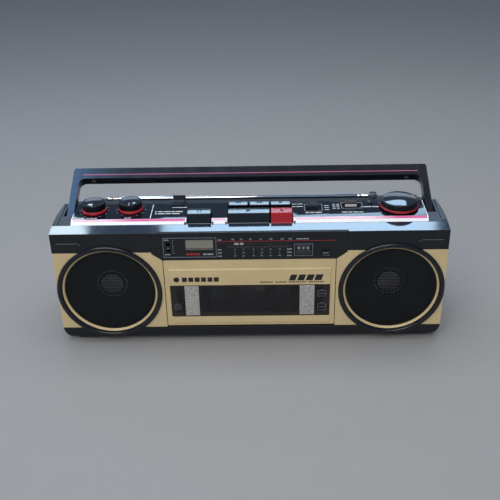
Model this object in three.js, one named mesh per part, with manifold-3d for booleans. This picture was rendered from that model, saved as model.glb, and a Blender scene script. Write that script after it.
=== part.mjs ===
// A portable stereo radio cassette recorder: cabinet, speakers, dial, cassette deck, keys, controls,
// telescopic antenna and carrying handle. Millimetres; X to the right, Y to the back, Z up.
// Inside this file the front face of the cabinet is the plane y = 0 and it stands on z = 0. The finished
// group is moved along Y so that its origin lies under the middle of its own bounding box.
import * as THREE from "three";
import { mergeVertices } from "three/addons/utils/BufferGeometryUtils.js";
import Module from "manifold-3d";

const wasm = await Module();
wasm.setup();

// ---------------------------------------------------------------- driving dimensions
const HALF_WIDTH = 220;
const DEPTH = 101;
const WALL = 2.5;
const GAP = 0.3; // between two pieces that touch
const FLOOR_CLEARANCE = 3.5;
const BASE_TOP = 20; // the black base trim ends and the cream front starts
const BAND_BOTTOM = 120; // the cream front ends and the black fascia starts
const LEDGE_Z = 144; // the front edge of the top, and the rear ledge
const LEDGE_DEPTH = 16.5; // the front ledge rises toward the control panel
const LEDGE_BACK_Z = 146;
const PANEL_Z = 150; // the raised control panel
const PANEL_BACK = 60.2;
const PANEL_HALF = 199;
const SHELL_SPLIT = 40; // the front and rear halves of the cabinet meet here
const END_TOP = 146; // the end caps that hold the handle
const RAIL_TOP = 147.2; // the low rail along the outer edge of each end cap
const REAR_DRAFT = 5; // how far each side draws in toward the back
const ROUND = 24; // facets of an ordinary round piece
const FINE = 36; // facets of a large round piece

// Speakers
const SPEAKER_X = 160.2; // either side of the middle
const SPEAKER_Z = 68.4;
const BEZEL_R = 60.2;
const NECK_R = 56.5; // the bezel's neck, which passes into the cabinet
const RING_R = 54.3;
const GRILLE_R = 54.2;

// Centre section: dial above, cassette door below
const DIAL_HALF = 108.8;
const DIAL_SHOULDER = 118.2;
const DOOR_HALF = 96.5;
const DOOR_TOP = 109.3;
const DOOR_HINGE = { y: 4, z: 24.6 };
const DOOR_PANEL = { half: 91, low: 25, high: 98, front: -1.2 };
const WINDOW = { low: 34.5, high: 77 };

// Cassette deck
const CHASSIS = [19, 20.6];
const REEL = { x: 21.25, z: 57 };
const CAPSTAN = { x: 33, z: 86, r: 1.25 };
const FLYWHEEL_R = 26;
const BELT_PLANE = [25, 31];
const MOTOR = { x: -62, z: 50, r: 15, pulley: 4 };
const ROLLER = { x: 34.5, z: 97.7, r: 6, y: [8.6, 15.4] };

// Keys on the top: [name, left, right, row]
const KEY_TOP = 157;
const KEY_SKIRT = 139;
const KEY_STEM = 121;
const KEY_FOOT = 17.4; // where the foot of a front-row key comes forward to
const KEY_ROWS = { front: [22.4, 34], rear: [43, 55] };
const KEYS = [
  ["pause_key", -68.6, -42.6, "front"],
  ["play_key", -23, 23, "front"],
  ["record_key", 24.7, 48.5, "front"],
  ["rewind_key", -22.8, -1.5, "rear"],
  ["fast_forward_key", 0.8, 22.8, "rear"],
  ["stop_eject_key", 24.7, 46.6, "rear"],
];

// Knobs and slides on the control panel
const VOLUME = { x: -176.5, y: 45.4 };
const TONE = { x: -135, y: 47.2 };
const TUNING = { x: 170, y: 45.3 };
const FUNCTION_SLOT = { x: [63.5, 82.5], y: [37.5, 54.5] };
const FUNCTION_KNOB = { x: [65, 79], y: [40, 52] };
const BAND_SLOT = { x: [105.5, 128.5], y: [43.5, 57] };
const BAND_KNOB = { x: [108.5, 122.5], y: [45.5, 55] };
const SLIDE_RECESS = 148.6;
const SLIDE_TOP = 155.6;

// Antenna, lying along the rear edge
const ROD = { y: 89, z: 143.5, r: 3.1, pivotX: 146, leftEnd: -150, baseR: 5 };
const CHANNEL_Z = 140;

// Handle: it leans back at rest and turns about PIVOT
const PIVOT = { y: 46.4, z: 134.3 };
const HANDLE_LEAN = THREE.MathUtils.degToRad(63.66);
const HANDLE = { inner: 202.6, outer: 210.4, length: 76.9, bar: 15.8, half: 5.35, trunnion: 3 };

// Battery bay in the back
const BAY = { half: 123, low: 12.5, high: 82.5, front: 62.5 };
const COVER = { half: 127, low: 10.8, high: 84.2, front: 98.9 };
const INLET = { x: [-181, -159], z: [24, 38] };

// ---------------------------------------------------------------- solids
// A closed geometry as a solid. A profile may run either way round, so the faces are turned outwards.
function solid(geometry) {
  const bare = geometry.clone();
  bare.deleteAttribute("normal");
  bare.deleteAttribute("uv");
  const merged = mergeVertices(bare, 1e-4);
  const corners = Array.from(merged.index.array);
  const triangles = [];
  for (let i = 0; i < corners.length; i += 3) {
    const [a, b, c] = corners.slice(i, i + 3);
    if (a !== b && b !== c && c !== a) triangles.push(a, b, c);
  }
  const build = (order) => {
    const mesh = new wasm.Mesh({
      numProp: 3,
      vertProperties: new Float32Array(merged.attributes.position.array),
      triVerts: new Uint32Array(order),
    });
    return new wasm.Manifold(mesh);
  };
  const made = build(triangles);
  return made.volume() > 0 ? made : build(triangles.reverse());
}

function geometryOf(body) {
  const mesh = body.getMesh();
  const geometry = new THREE.BufferGeometry();
  geometry.setAttribute("position", new THREE.BufferAttribute(mesh.vertProperties, 3));
  geometry.setIndex(new THREE.BufferAttribute(mesh.triVerts, 1));
  geometry.computeVertexNormals();
  return geometry;
}

const join = (first, ...rest) => rest.reduce((sum, next) => sum.add(next), first);
const cut = (first, ...rest) => rest.reduce((left, next) => left.subtract(next), first);

function box([x0, x1], [y0, y1], [z0, z1]) {
  const geometry = new THREE.BoxGeometry(x1 - x0, y1 - y0, z1 - z0);
  return solid(geometry.translate((x0 + x1) / 2, (y0 + y1) / 2, (z0 + z1) / 2));
}

function extrude(points, depth) {
  const shape = new THREE.Shape(points.map(([u, v]) => new THREE.Vector2(u, v)));
  return new THREE.ExtrudeGeometry(shape, { depth, bevelEnabled: false, steps: 1 });
}

// Prisms: the outline lies across the named axis and runs from one value of it to the other.
function prismX(outlineYZ, x0, x1) {
  const turn = new THREE.Matrix4().set(0, 0, 1, x0, 1, 0, 0, 0, 0, 1, 0, 0, 0, 0, 0, 1);
  return solid(extrude(outlineYZ, x1 - x0).applyMatrix4(turn));
}

function prismY(outlineXZ, y0, y1) {
  const turn = new THREE.Matrix4().set(1, 0, 0, 0, 0, 0, -1, y1, 0, 1, 0, 0, 0, 0, 0, 1);
  return solid(extrude(outlineXZ, y1 - y0).applyMatrix4(turn));
}

function prismZ(outlineXY, z0, z1) {
  return solid(extrude(outlineXY, z1 - z0).translate(0, 0, z0));
}

// Rods along an axis, from one value of it to the other.
function rodX(r, [x0, x1], y, z, facets = ROUND) {
  const geometry = new THREE.CylinderGeometry(r, r, x1 - x0, facets);
  return solid(geometry.rotateZ(Math.PI / 2).translate((x0 + x1) / 2, y, z));
}

function rodY(r, x, [y0, y1], z, facets = ROUND) {
  const geometry = new THREE.CylinderGeometry(r, r, y1 - y0, facets);
  return solid(geometry.translate(x, (y0 + y1) / 2, z));
}

function rodZ(r, x, y, [z0, z1], facets = ROUND) {
  const geometry = new THREE.CylinderGeometry(r, r, z1 - z0, facets);
  return solid(geometry.rotateX(Math.PI / 2).translate(x, y, (z0 + z1) / 2));
}

// Turned pieces: the profile is [radius, height along the axis].
function turned(profile, facets) {
  const points = profile.map(([r, h]) => new THREE.Vector2(r, h));
  return new THREE.LatheGeometry(points, facets);
}

function turnedY(profile, x, z, facets = FINE) {
  return solid(turned(profile, facets).translate(x, 0, z));
}

function turnedZ(profile, x, y, facets = ROUND) {
  return solid(turned(profile, facets).rotateX(Math.PI / 2).translate(x, y, 0));
}

function arc(cx, cy, r, fromDegrees, toDegrees, steps) {
  return Array.from({ length: steps + 1 }, (_, i) => {
    const angle = THREE.MathUtils.degToRad(fromDegrees + ((toDegrees - fromDegrees) * i) / steps);
    return [cx + r * Math.cos(angle), cy + r * Math.sin(angle)];
  });
}

const mirrored = (outline) => outline.map(([u, v]) => [-u, v]).reverse();
const bothSides = (outline) => [...outline, ...mirrored(outline)];

// ---------------------------------------------------------------- materials
const paint = (color, roughness, metalness = 0) =>
  new THREE.MeshStandardMaterial({ color, roughness, metalness });

const cream = () => paint(0xcdbd92, 0.5);
const satinBlack = () => paint(0x15161a, 0.5);
const glossBlack = () => paint(0x0a0b10, 0.12);
const rubber = () => paint(0x101010, 0.9);
const redPlastic = () => paint(0xb8141e, 0.3);
const steel = () => paint(0xa8a9ab, 0.4, 1);
const chrome = () => paint(0xe8e8ea, 0.12, 1);
const board = () => paint(0xa98a4c, 0.7);
const smoked = () => paint(0x201e1c, 0.1);
const clear = () => paint(0x8f9499, 0.05);
const lcd = () => paint(0x83857c, 0.3);
const white = () => paint(0xe9e9e4, 0.4);

const player = new THREE.Group();

function piece(name, body, material) {
  const mesh = new THREE.Mesh(geometryOf(body), material);
  mesh.name = name;
  player.add(mesh);
}

// ---------------------------------------------------------------- cabinet
// The dial panel's outline; `grow` widens it into the opening that the panel sits in.
function dialOutline(grow, top) {
  return bothSides([
    [DIAL_HALF + grow, top],
    [DIAL_HALF + grow, DIAL_SHOULDER - grow],
    [DOOR_HALF + 0.5 + grow, DOOR_TOP + GAP - grow],
  ]);
}

// The two round openings that the speakers pass through.
function speakerHoles() {
  const hole = (x) => rodY(NECK_R + GAP, x, [-1, 18], SPEAKER_Z, FINE);
  return join(hole(-SPEAKER_X), hole(SPEAKER_X));
}

function frontCabinet() {
  const top = BAND_BOTTOM - GAP;
  const bay = DOOR_HALF + 0.8;
  const bayWall = [bay, bay + 2.2];
  let body = box([-HALF_WIDTH, HALF_WIDTH], [0, SHELL_SPLIT], [BASE_TOP, top]);
  const inside = HALF_WIDTH - WALL;
  body = cut(body, box([-inside, inside], [3, SHELL_SPLIT + 1], [BASE_TOP + WALL, top + 1]));
  for (const side of [-1, 1]) {
    const wall = bayWall.map((x) => side * x).sort((a, b) => a - b);
    body = join(body, box(wall, [2, 18], [BASE_TOP + 1, DOOR_TOP]));
  }
  body = cut(body, speakerHoles(), box([-bay, bay], [-1, 7.5], [BASE_TOP - 1, DOOR_TOP + 2]));
  body = cut(body, prismY(dialOutline(GAP, top + 5), -1, 4));
  return cut(body, rodX(1.9, [-bay - 2.6, bay + 2.6], DOOR_HINGE.y, DOOR_HINGE.z, 16));
}

function frontFascia() {
  const inside = HALF_WIDTH - WALL;
  const low = BAND_BOTTOM;
  const outline = [[0, low], [0, LEDGE_Z], [LEDGE_DEPTH, LEDGE_BACK_Z], [LEDGE_DEPTH, low]];
  const hollow = [
    [WALL, low - 1], [WALL, LEDGE_Z - WALL], [LEDGE_DEPTH + 1, LEDGE_BACK_Z - WALL], [LEDGE_DEPTH + 1, low - 1],
  ];
  let body = cut(prismX(outline, -HALF_WIDTH, HALF_WIDTH), prismX(hollow, -inside, inside));
  const opening = DIAL_HALF + GAP;
  body = cut(body, box([-opening, opening], [-1, WALL + GAP], [low - 1, LEDGE_Z + 1]));
  const slit = [131.6, 133.2];
  return cut(body, speakerHoles(), box([-214, -190], [-1, 0.9], slit), box([190, 214], [-1, 0.9], slit));
}

function baseTrim() {
  const top = BASE_TOP - GAP;
  const low = FLOOR_CLEARANCE;
  const side = [
    [0, top], [0, 10], [1.2, 7.4], [4, 4.8], [8.5, low], [SHELL_SPLIT, low], [SHELL_SPLIT, top],
  ];
  const cornerCurve = [[0, top], [0.8, 15.5], [2.8, 11.5], [5.6, 8.3], [9, 6], [14, low]];
  const front = cornerCurve.map(([inset, z]) => [HALF_WIDTH - inset, z]);
  const hollow = front.map(([x, z]) => [x - WALL, z + 3]);
  let body = prismX(side, -HALF_WIDTH, HALF_WIDTH);
  body = body.intersect(prismY(bothSides(front), -1, SHELL_SPLIT + 1));
  body = cut(body, prismY(bothSides(hollow), 4.5, SHELL_SPLIT + 1), speakerHoles());
  const pad = { y: [9, 24], z: [0, low + 0.5] };
  return join(body, box([-206, -165], pad.y, pad.z), box([165, 206], pad.y, pad.z));
}

// The rear of the cabinet seen from above: its sides draw in, and its corners are cut off.
function rearPlan(half, back) {
  const drawnIn = half - REAR_DRAFT;
  return bothSides([[half, 0], [half, SHELL_SPLIT], [drawnIn, back - 7], [drawnIn - 6, back]]);
}

function rearCabinet() {
  const front = SHELL_SPLIT + GAP;
  const low = FLOOR_CLEARANCE;
  const half = HALF_WIDTH - GAP;
  const endZ = BAND_BOTTOM + 0.1;
  const inner = PANEL_HALF - 0.1;
  const outline = [
    [front, low], [DEPTH - 7, low], [DEPTH, low + 6.8], [DEPTH, 134], [DEPTH - 4, CHANNEL_Z],
    [84.3, CHANNEL_Z], [83, LEDGE_Z], [front, LEDGE_Z],
  ];
  const hollow = [
    [front - 1, low + WALL], [DEPTH - 8, low + WALL], [DEPTH - WALL, low + 8], [DEPTH - WALL, 133],
    [DEPTH - 5.2, CHANNEL_Z - WALL], [82.4, CHANNEL_Z - WALL], [81.2, LEDGE_Z - WALL],
    [front - 1, LEDGE_Z - WALL],
  ];
  let body = prismX(outline, -half, half);
  body = body.intersect(prismZ(rearPlan(half, DEPTH + 0.01), 0, LEDGE_Z + 1));
  const below = box([-half, half], [0, DEPTH + 1], [0, endZ - WALL]);
  const room = join(
    prismX(hollow, WALL - half, half - WALL).intersect(below),
    prismX(hollow, WALL - inner, inner - WALL),
  );
  body = cut(body, room.intersect(prismZ(rearPlan(half - WALL, DEPTH - 1), 0, LEDGE_Z)));
  for (const side of [-1, 1]) {
    const ends = [side * inner, side * (half + 1)].sort((a, b) => a - b);
    body = cut(body, box(ends, [0, DEPTH + 1], [endZ, LEDGE_Z + 1]));
  }
  body = cut(body, box([WALL - inner, inner - WALL], [0, 57], [LEDGE_Z - WALL - 1, LEDGE_Z + 1]));
  body = join(body, batteryTub(), antennaClip());
  body = cut(body, box([-BAY.half, BAY.half], [BAY.front, DEPTH + 1], [BAY.low, BAY.high]));
  const rim = COVER.half + GAP;
  body = cut(
    body,
    box([-rim, rim], [COVER.front - GAP, DEPTH + 1], [COVER.low - GAP, COVER.high + GAP]),
    box(INLET.x.map((x, i) => x + (i ? GAP : -GAP)), [90, DEPTH + 1],
      INLET.z.map((z, i) => z + (i ? GAP : -GAP))),
  );
  const { pivotX, y, baseR } = ROD;
  return cut(body, rodZ(4.4, pivotX, y, [130, CHANNEL_Z + 1]), rodZ(baseR + 0.5, pivotX, y, [CHANNEL_Z, 150]));
}

function batteryTub() {
  const wall = 2.4;
  const half = BAY.half + wall;
  return box([-half, half], [BAY.front - wall, DEPTH - 1], [BAY.low - wall, BAY.high + wall]);
}

// The clip that the antenna rod lies behind: it reaches forward over the edge of the control panel.
function antennaClip() {
  const back = ROD.y - ROD.r - 0.5;
  const root = LEDGE_Z - WALL;
  const lip = PANEL_Z + GAP;
  const stem = PANEL_BACK + GAP;
  const outline = [
    [55.8, lip], [55.8, lip + 0.9], [61.5, lip + 0.9], [back, 145.6], [back, root], [stem, root], [stem, lip],
  ];
  return prismX(outline, -90.8, -75.8);
}

// The slot that an arm of the handle turns in: round about the pivot, then along the leaning arm.
function armSlot() {
  const r = HANDLE.half + 0.65;
  const along = [Math.sin(HANDLE_LEAN), Math.cos(HANDLE_LEAN)];
  const rest = arc(PIVOT.y, PIVOT.z, r, 180, 270 + THREE.MathUtils.radToDeg(Math.PI / 2 - HANDLE_LEAN), 12);
  const [y, z] = rest[rest.length - 1];
  const reach = 70;
  return [...rest, [y + reach * along[0], z + reach * along[1]], [PIVOT.y - r, PIVOT.z + reach]];
}

function endCap(side) {
  const low = BAND_BOTTOM + 0.4;
  const outline = [
    [LEDGE_DEPTH + 0.4, low], [DEPTH, low], [DEPTH, 131], [DEPTH - 5, 137.5], [85.3, 139.5],
    [72, END_TOP], [LEDGE_DEPTH + 0.4, END_TOP],
  ];
  const range = (a, b) => [side * a, side * b].sort((p, q) => p - q);
  const [x0, x1] = range(PANEL_HALF + 0.2, HALF_WIDTH - GAP);
  let body = prismX(outline, x0, x1);
  const rail = [[18, END_TOP - 1], [71.5, END_TOP - 1], [70.5, RAIL_TOP], [18.8, RAIL_TOP]];
  body = join(body, prismX(rail, ...range(214, HALF_WIDTH - GAP)));
  body = cut(body, prismX(armSlot(), ...range(201, 211.6)));
  body = cut(body, rodX(HANDLE.trunnion + GAP, range(211, 217), PIVOT.y, PIVOT.z, 20));
  return body.intersect(prismZ(rearPlan(HALF_WIDTH - GAP, DEPTH + 0.01), low - 1, RAIL_TOP + 1));
}

function controlPanel() {
  const slope = 6.6;
  const front = LEDGE_DEPTH + GAP;
  const low = LEDGE_Z + GAP;
  const outline = [
    [front, low], [front, LEDGE_BACK_Z], [front + slope, PANEL_Z], [PANEL_BACK, PANEL_Z], [PANEL_BACK, low],
  ];
  const skin = 2.4;
  const hollow = [
    [front + 2.2, low - 1], [front + 2.2, LEDGE_BACK_Z - 0.6], [front + slope + 0.6, PANEL_Z - skin],
    [PANEL_BACK - 2, PANEL_Z - skin], [PANEL_BACK - 2, low - 1],
  ];
  let body = prismX(outline, -PANEL_HALF, PANEL_HALF);
  body = cut(body, prismX(hollow, 2 - PANEL_HALF, PANEL_HALF - 2));
  const through = [LEDGE_Z - 1, PANEL_Z + 1];
  const bay = LEDGE_DEPTH - 1;
  body = cut(body, box([-69.8, -41.4], [bay, 35.2], through), box([-24.2, 49.7], [bay, 57], through));
  for (const knob of [VOLUME, TONE, TUNING]) body = cut(body, rodZ(4.4, knob.x, knob.y, through, 24));
  for (const slot of [FUNCTION_SLOT, BAND_SLOT]) {
    const middle = (slot.y[0] + slot.y[1]) / 2;
    const narrow = [middle - 2, middle + 2];
    body = cut(body, box(slot.x, slot.y, [SLIDE_RECESS, PANEL_Z + 1]));
    body = cut(body, box([slot.x[0] + 3, slot.x[1] - 3], narrow, through));
  }
  return body;
}

function foot(side) {
  return rodZ(8, side * 170, 84, [0, FLOOR_CLEARANCE - GAP], 24);
}

// ---------------------------------------------------------------- speakers
function speakerBezel(side) {
  const inner = RING_R + GAP;
  const seat = 4.2;
  const profile = [
    [inner, -0.6], [55.2, -2.2], [56.4, -3.1], [57.8, -2.9], [59.2, -1.9], [BEZEL_R, -0.9],
    [BEZEL_R, -GAP], [NECK_R, -GAP], [NECK_R, 9], [50.5, 9], [50.5, seat], [inner, seat],
  ];
  return turnedY([...profile, profile[0]], side * SPEAKER_X, SPEAKER_Z);
}

function speakerRing(side) {
  const profile = [[RING_R, 0.6], [RING_R - 0.6, 0.4], [51.9, 2.2], [51.9, 2.8], [RING_R, 2.8]];
  return turnedY([...profile, profile[0]], side * SPEAKER_X, SPEAKER_Z);
}

function speakerGrille(side) {
  return rodY(GRILLE_R, side * SPEAKER_X, [3.1, 3.9], SPEAKER_Z, FINE);
}

// Basket, cone, dust cap and magnet turned as one piece about the speaker's axis.
function speakerDriver(side) {
  const profile = [
    [0, 15], [8, 16.2], [14, 18.2], [17.2, 20.4], [44, 10.5], [48, 9.4], [53.4, 9.4],
    [53.4, 12.5], [47, 12.5], [20, 27], [20, 36], [29, 36], [29, 50], [0, 50],
  ];
  return turnedY(profile, side * SPEAKER_X, SPEAKER_Z);
}

// ---------------------------------------------------------------- dial section
const CLOCK = { x: [-70.5, -39.4], z: [122.3, 135.2] };
const POINTER_SLOT = { x: [-29, 43], z: [127, 131] };
const COUNTER = { x: [51.5, 69], z: [115, 128] };
const COUNTER_AXIS = { y: 10.2, z: 121 };
const RESET = { x: [80.2, 90.4], z: [114.2, 120.4] };
const TIMER_SLOT = { x: [-91.4, -87.2], z: [119.8, 131.8] };
const CLOCK_BUTTONS = [["clock_hour_button", 133.2], ["clock_minute_button", 121]];
const CLOCK_BUTTON_X = -75;

const shrink = ([low, high], by) => [low + by, high - by];

function dialPanel() {
  let body = prismY(dialOutline(0, LEDGE_Z), 0, WALL);
  for (const hole of [CLOCK, POINTER_SLOT, COUNTER, RESET, TIMER_SLOT])
    body = cut(body, box(hole.x, [-1, WALL + 1], hole.z));
  for (const [, z] of CLOCK_BUTTONS) body = cut(body, rodY(1.7, CLOCK_BUTTON_X, [-1, 4], z, 16));
  return body;
}

function clockModule() {
  const glass = box(shrink(CLOCK.x, GAP), [0.7, 3.5], shrink(CLOCK.z, GAP));
  return join(glass, box([-73, -36], [WALL + GAP, 8], [118, 139]));
}

function counterWheels() {
  const [x0, x1] = shrink(COUNTER.x, 1);
  const wheel = (x1 - x0 - 1.2) / 3;
  const { y, z } = COUNTER_AXIS;
  let body = rodX(1.5, [x0 - 4, x1 + 4], y, z, 16);
  body = join(body, rodX(5.8, [x0, x1], y, z, 30));
  for (let i = 0; i < 3; i++) {
    const left = x0 + i * (wheel + 0.6);
    body = join(body, rodX(7.2, [left, left + wheel], y, z, 30));
  }
  return body;
}

function dialPointer() {
  const marker = box([-20, -6.5], [2.9, 4.1], shrink(POINTER_SLOT.z, 0.4));
  return join(marker, box([-15, -11.5], [3.4, 9], [130.4, 133.4]));
}

function dialSection() {
  piece("dial_panel", dialPanel(), satinBlack());
  piece("dial_window", box(shrink(POINTER_SLOT.x, GAP), [0.3, 1.4], shrink(POINTER_SLOT.z, GAP)), clear());
  piece("clock_module", clockModule(), lcd());
  piece("dial_pointer", dialPointer(), white());
  piece("counter_wheels", counterWheels(), satinBlack());
  piece("counter_reset_button", box(shrink(RESET.x, 0.4), [-1.8, 6], shrink(RESET.z, 0.4)), satinBlack());
  piece("timer_switch_knob", box(shrink(TIMER_SLOT.x, 0.4), [-1.2, 4.5], [123.8, 127.8]), satinBlack());
  for (const [name, z] of CLOCK_BUTTONS)
    piece(name, rodY(1.4, CLOCK_BUTTON_X, [-0.7, 5], z, 16), satinBlack());
}

// ---------------------------------------------------------------- cassette door
function cassetteDoor() {
  const profile = [[0.3, DOOR_TOP], [0.3, 22], [1, 21.1], [3, 20.8], [3, DOOR_TOP]];
  const { half, low, high, front } = DOOR_PANEL;
  let body = prismX(profile, -DOOR_HALF, DOOR_HALF);
  const raised = [[front, low + 1], [0.4, low], [0.4, high], [front, high - 1]];
  body = join(body, prismX(raised, -half, half));
  const pane = box([-half - 1, half + 1], [front - 1, 1.3], [WINDOW.low, WINDOW.high]);
  const sides = join(
    box([half, half + 2], [0.3, 2], [WINDOW.low, WINDOW.high]),
    box([-half - 2, -half], [0.3, 2], [WINDOW.low, WINDOW.high]),
  );
  body = cut(body, cut(pane, sides));
  body = cut(body, box([-84, 84], [-1, 4], [WINDOW.low + 3.5, WINDOW.high - 3.5]));
  const { y, z } = DOOR_HINGE;
  for (const side of [-1, 1]) {
    const range = (a, b) => [side * a, side * b].sort((p, q) => p - q);
    body = join(body, box(range(93, DOOR_HALF), [0.4, y + 2], [z - 2, z + 2.4]));
    body = join(body, rodX(1.6, range(DOOR_HALF - 1, DOOR_HALF + 2.4), y, z, 16));
  }
  return body;
}

function cassetteHolder() {
  const low = 25.6;
  const high = 90;
  let body = box([-54, 54], [3.3, 16], [low, low + 2]);
  for (const side of [-1, 1]) {
    const range = (a, b) => [side * a, side * b].sort((p, q) => p - q);
    body = join(body, box(range(51.4, 54), [3.3, 16], [low, high]));
    body = join(body, box(range(47, 54), [14.6, 16], [low, high]));
  }
  return body;
}

function doorAssembly() {
  const { half, front } = DOOR_PANEL;
  piece("cassette_door", cassetteDoor(), cream());
  const pane = [WINDOW.low + GAP, WINDOW.high - GAP];
  piece("door_window", box([GAP - half, half - GAP], [front + 0.1, 1], pane), smoked());
  piece("cassette_holder", cassetteHolder(), satinBlack());
}

// ---------------------------------------------------------------- cassette deck
function deckChassis() {
  let body = box([-94, 94], CHASSIS, [24, 108]);
  const bracket = [33, 34.6];
  const plate = box([MOTOR.x - 18, MOTOR.x + 18], bracket, [MOTOR.z - 18, MOTOR.z + 18]);
  body = join(body, cut(plate, rodY(6, MOTOR.x, [32, 36], MOTOR.z, 24)));
  const posts = [[-16.5, -16.5], [-16.5, 16.5], [16.5, -16.5]];
  for (const [dx, dz] of posts)
    body = join(body, rodY(1.5, MOTOR.x + dx, [CHASSIS[0] + 0.5, bracket[0] + 0.5], MOTOR.z + dz, 12));
  for (const side of [-1, 1]) body = cut(body, rodY(5, side * REEL.x, [18, 22], REEL.z, 24));
  return cut(body, rodY(4, CAPSTAN.x, [18, 22], CAPSTAN.z, 24));
}

function reelSpindle(side) {
  const profile = [
    [0, 8.6], [2.4, 8.6], [3.2, 10.4], [3.2, 15.8], [9, 15.8], [9, 18.4],
    [4.5, 18.4], [4.5, 21.3], [10, 21.3], [10, 24], [0, 24],
  ];
  const rod = turnedY(profile, side * REEL.x, REEL.z, 24);
  const fin = (turn) => {
    const blade = new THREE.BoxGeometry(8.4, 4.4, 1.2).translate(0, 12.8, 0).rotateY(turn);
    return solid(blade.translate(side * REEL.x, 0, REEL.z));
  };
  return join(rod, fin(0), fin(Math.PI / 3), fin((2 * Math.PI) / 3));
}

function capstanFlywheel() {
  const [near, far] = BELT_PLANE;
  const collar = ROLLER.y[1] + GAP;
  const profile = [
    [0, 6.5], [CAPSTAN.r, 6.8], [CAPSTAN.r, collar], [3.5, collar], [3.5, near], [FLYWHEEL_R, near],
    [FLYWHEEL_R, far], [4, far], [4, far + 3], [0, far + 3],
  ];
  return turnedY(profile, CAPSTAN.x, CAPSTAN.z, FINE);
}

function deckMotor() {
  const profile = [
    [0, 22.5], [0.9, 22.5], [0.9, 35], [5, 35], [5, 36], [MOTOR.r, 36], [MOTOR.r, 56.5], [0, 56.5],
  ];
  return turnedY(profile, MOTOR.x, MOTOR.z, 36);
}

function motorPulley() {
  const [near, far] = BELT_PLANE;
  const r = MOTOR.pulley;
  const profile = [[1.2, near], [r + 1, near], [r, near + 1.2], [r, far - 1.2], [r + 1, far], [1.2, far]];
  return turnedY([...profile, profile[0]], MOTOR.x, MOTOR.z, 24);
}

// The belt runs round the pulley and the flywheel: two arcs joined by their outer tangents.
function beltOutline(grow) {
  const dx = CAPSTAN.x - MOTOR.x;
  const dz = CAPSTAN.z - MOTOR.z;
  const line = Math.atan2(dz, dx);
  const lean = Math.acos((FLYWHEEL_R - MOTOR.pulley) / Math.hypot(dx, dz));
  const degrees = (angle) => THREE.MathUtils.radToDeg(angle);
  const large = arc(CAPSTAN.x, CAPSTAN.z, FLYWHEEL_R + grow, degrees(line - Math.PI + lean),
    degrees(line + Math.PI - lean), 28);
  const small = arc(MOTOR.x, MOTOR.z, MOTOR.pulley + grow, degrees(line + Math.PI - lean),
    degrees(line + Math.PI + lean), 8);
  return [...large, ...small];
}

function driveBelt() {
  const middle = (BELT_PLANE[0] + BELT_PLANE[1]) / 2;
  const width = [middle - 1.5, middle + 1.5];
  return cut(prismY(beltOutline(1.5), ...width), prismY(beltOutline(0.4), width[0] - 1, width[1] + 1));
}

function headPlate() {
  let body = box([-48, 48], [16.8, 18.4], [95, 106.5]);
  body = join(body, rodY(1.2, ROLLER.x, [8, 17.5], ROLLER.z, 12));
  return join(body, box([14, 18], [17, 18.2], [100, 118]));
}

function tapeHead() {
  const outline = [[-6, 104], [-6, 96], ...arc(0, 99.5, 5.6, 200, 340, 8), [6, 96], [6, 104]];
  return prismY(outline, 8, 16.5);
}

function pinchRoller() {
  const [front, back] = ROLLER.y;
  const profile = [[1.5, front], [ROLLER.r, front], [ROLLER.r, back], [1.5, back]];
  return turnedY([...profile, profile[0]], ROLLER.x, ROLLER.z, 28);
}

function deck() {
  piece("deck_chassis", deckChassis(), steel());
  piece("supply_spindle", reelSpindle(-1), satinBlack());
  piece("takeup_spindle", reelSpindle(1), satinBlack());
  piece("capstan_flywheel", capstanFlywheel(), steel());
  piece("deck_motor", deckMotor(), steel());
  piece("motor_pulley", motorPulley(), steel());
  piece("drive_belt", driveBelt(), rubber());
  piece("head_plate", headPlate(), steel());
  piece("tape_head", tapeHead(), chrome());
  piece("pinch_roller", pinchRoller(), rubber());
}

// ---------------------------------------------------------------- keys
const STEM = { half: 2.5, depth: 4 };

function keyStemPlace([, left, right, row]) {
  const [front, back] = KEY_ROWS[row];
  const x = (left + right) / 2;
  const y = (front + back) / 2;
  return { x: [x - STEM.half, x + STEM.half], y: [y - STEM.depth / 2, y + STEM.depth / 2] };
}

function keyCap(key) {
  const [, left, right, row] = key;
  const [front, back] = KEY_ROWS[row];
  const foot = row === "front" ? KEY_FOOT : front;
  const run = front - foot;
  const outline = [
    [foot, KEY_SKIRT], [foot, 144.8], [foot + run * 0.55, 147.5], [foot + run * 0.8, 151],
    [foot + run * 0.95, 154.5], [front + 0.2, KEY_TOP - 0.6], [front + 0.8, KEY_TOP],
    [back - 0.5, KEY_TOP], [back, KEY_TOP - 0.6], [back, KEY_SKIRT],
  ];
  const stem = keyStemPlace(key);
  return join(prismX(outline, left, right), box(stem.x, stem.y, [KEY_STEM, KEY_SKIRT + 1]));
}

function keyGuidePlate() {
  let body = box([-74, 54], [22.6, 56.5], [128, 130]);
  for (const key of KEYS) {
    const stem = keyStemPlace(key);
    body = cut(body, box(shrink(stem.x, -0.5), shrink(stem.y, -0.5), [127, 131]));
  }
  return body;
}

// ---------------------------------------------------------------- knobs and slides
function smallKnob({ x, y }) {
  const base = PANEL_Z + 0.5;
  const profile = [
    [0, 138], [3, 138], [3, base], [14.2, base], [14.2, base + 2], [13.4, base + 2.6],
    [13.2, 160.8], [12.2, 162], [0, 162],
  ];
  return turnedZ(profile, x, y, 40);
}

function tuningKnob({ x, y }) {
  const base = PANEL_Z + 0.5;
  const profile = [
    [0, 138], [4, 138], [4, base], [20, base], [20.4, base + 1.2], [21.9, base + 1.6], [21.9, base + 3.8],
    [20.8, base + 4.2], [20.4, 161], [19.4, 162.2], [0, 162.2],
  ];
  return turnedZ(profile, x, y, FINE);
}

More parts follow.
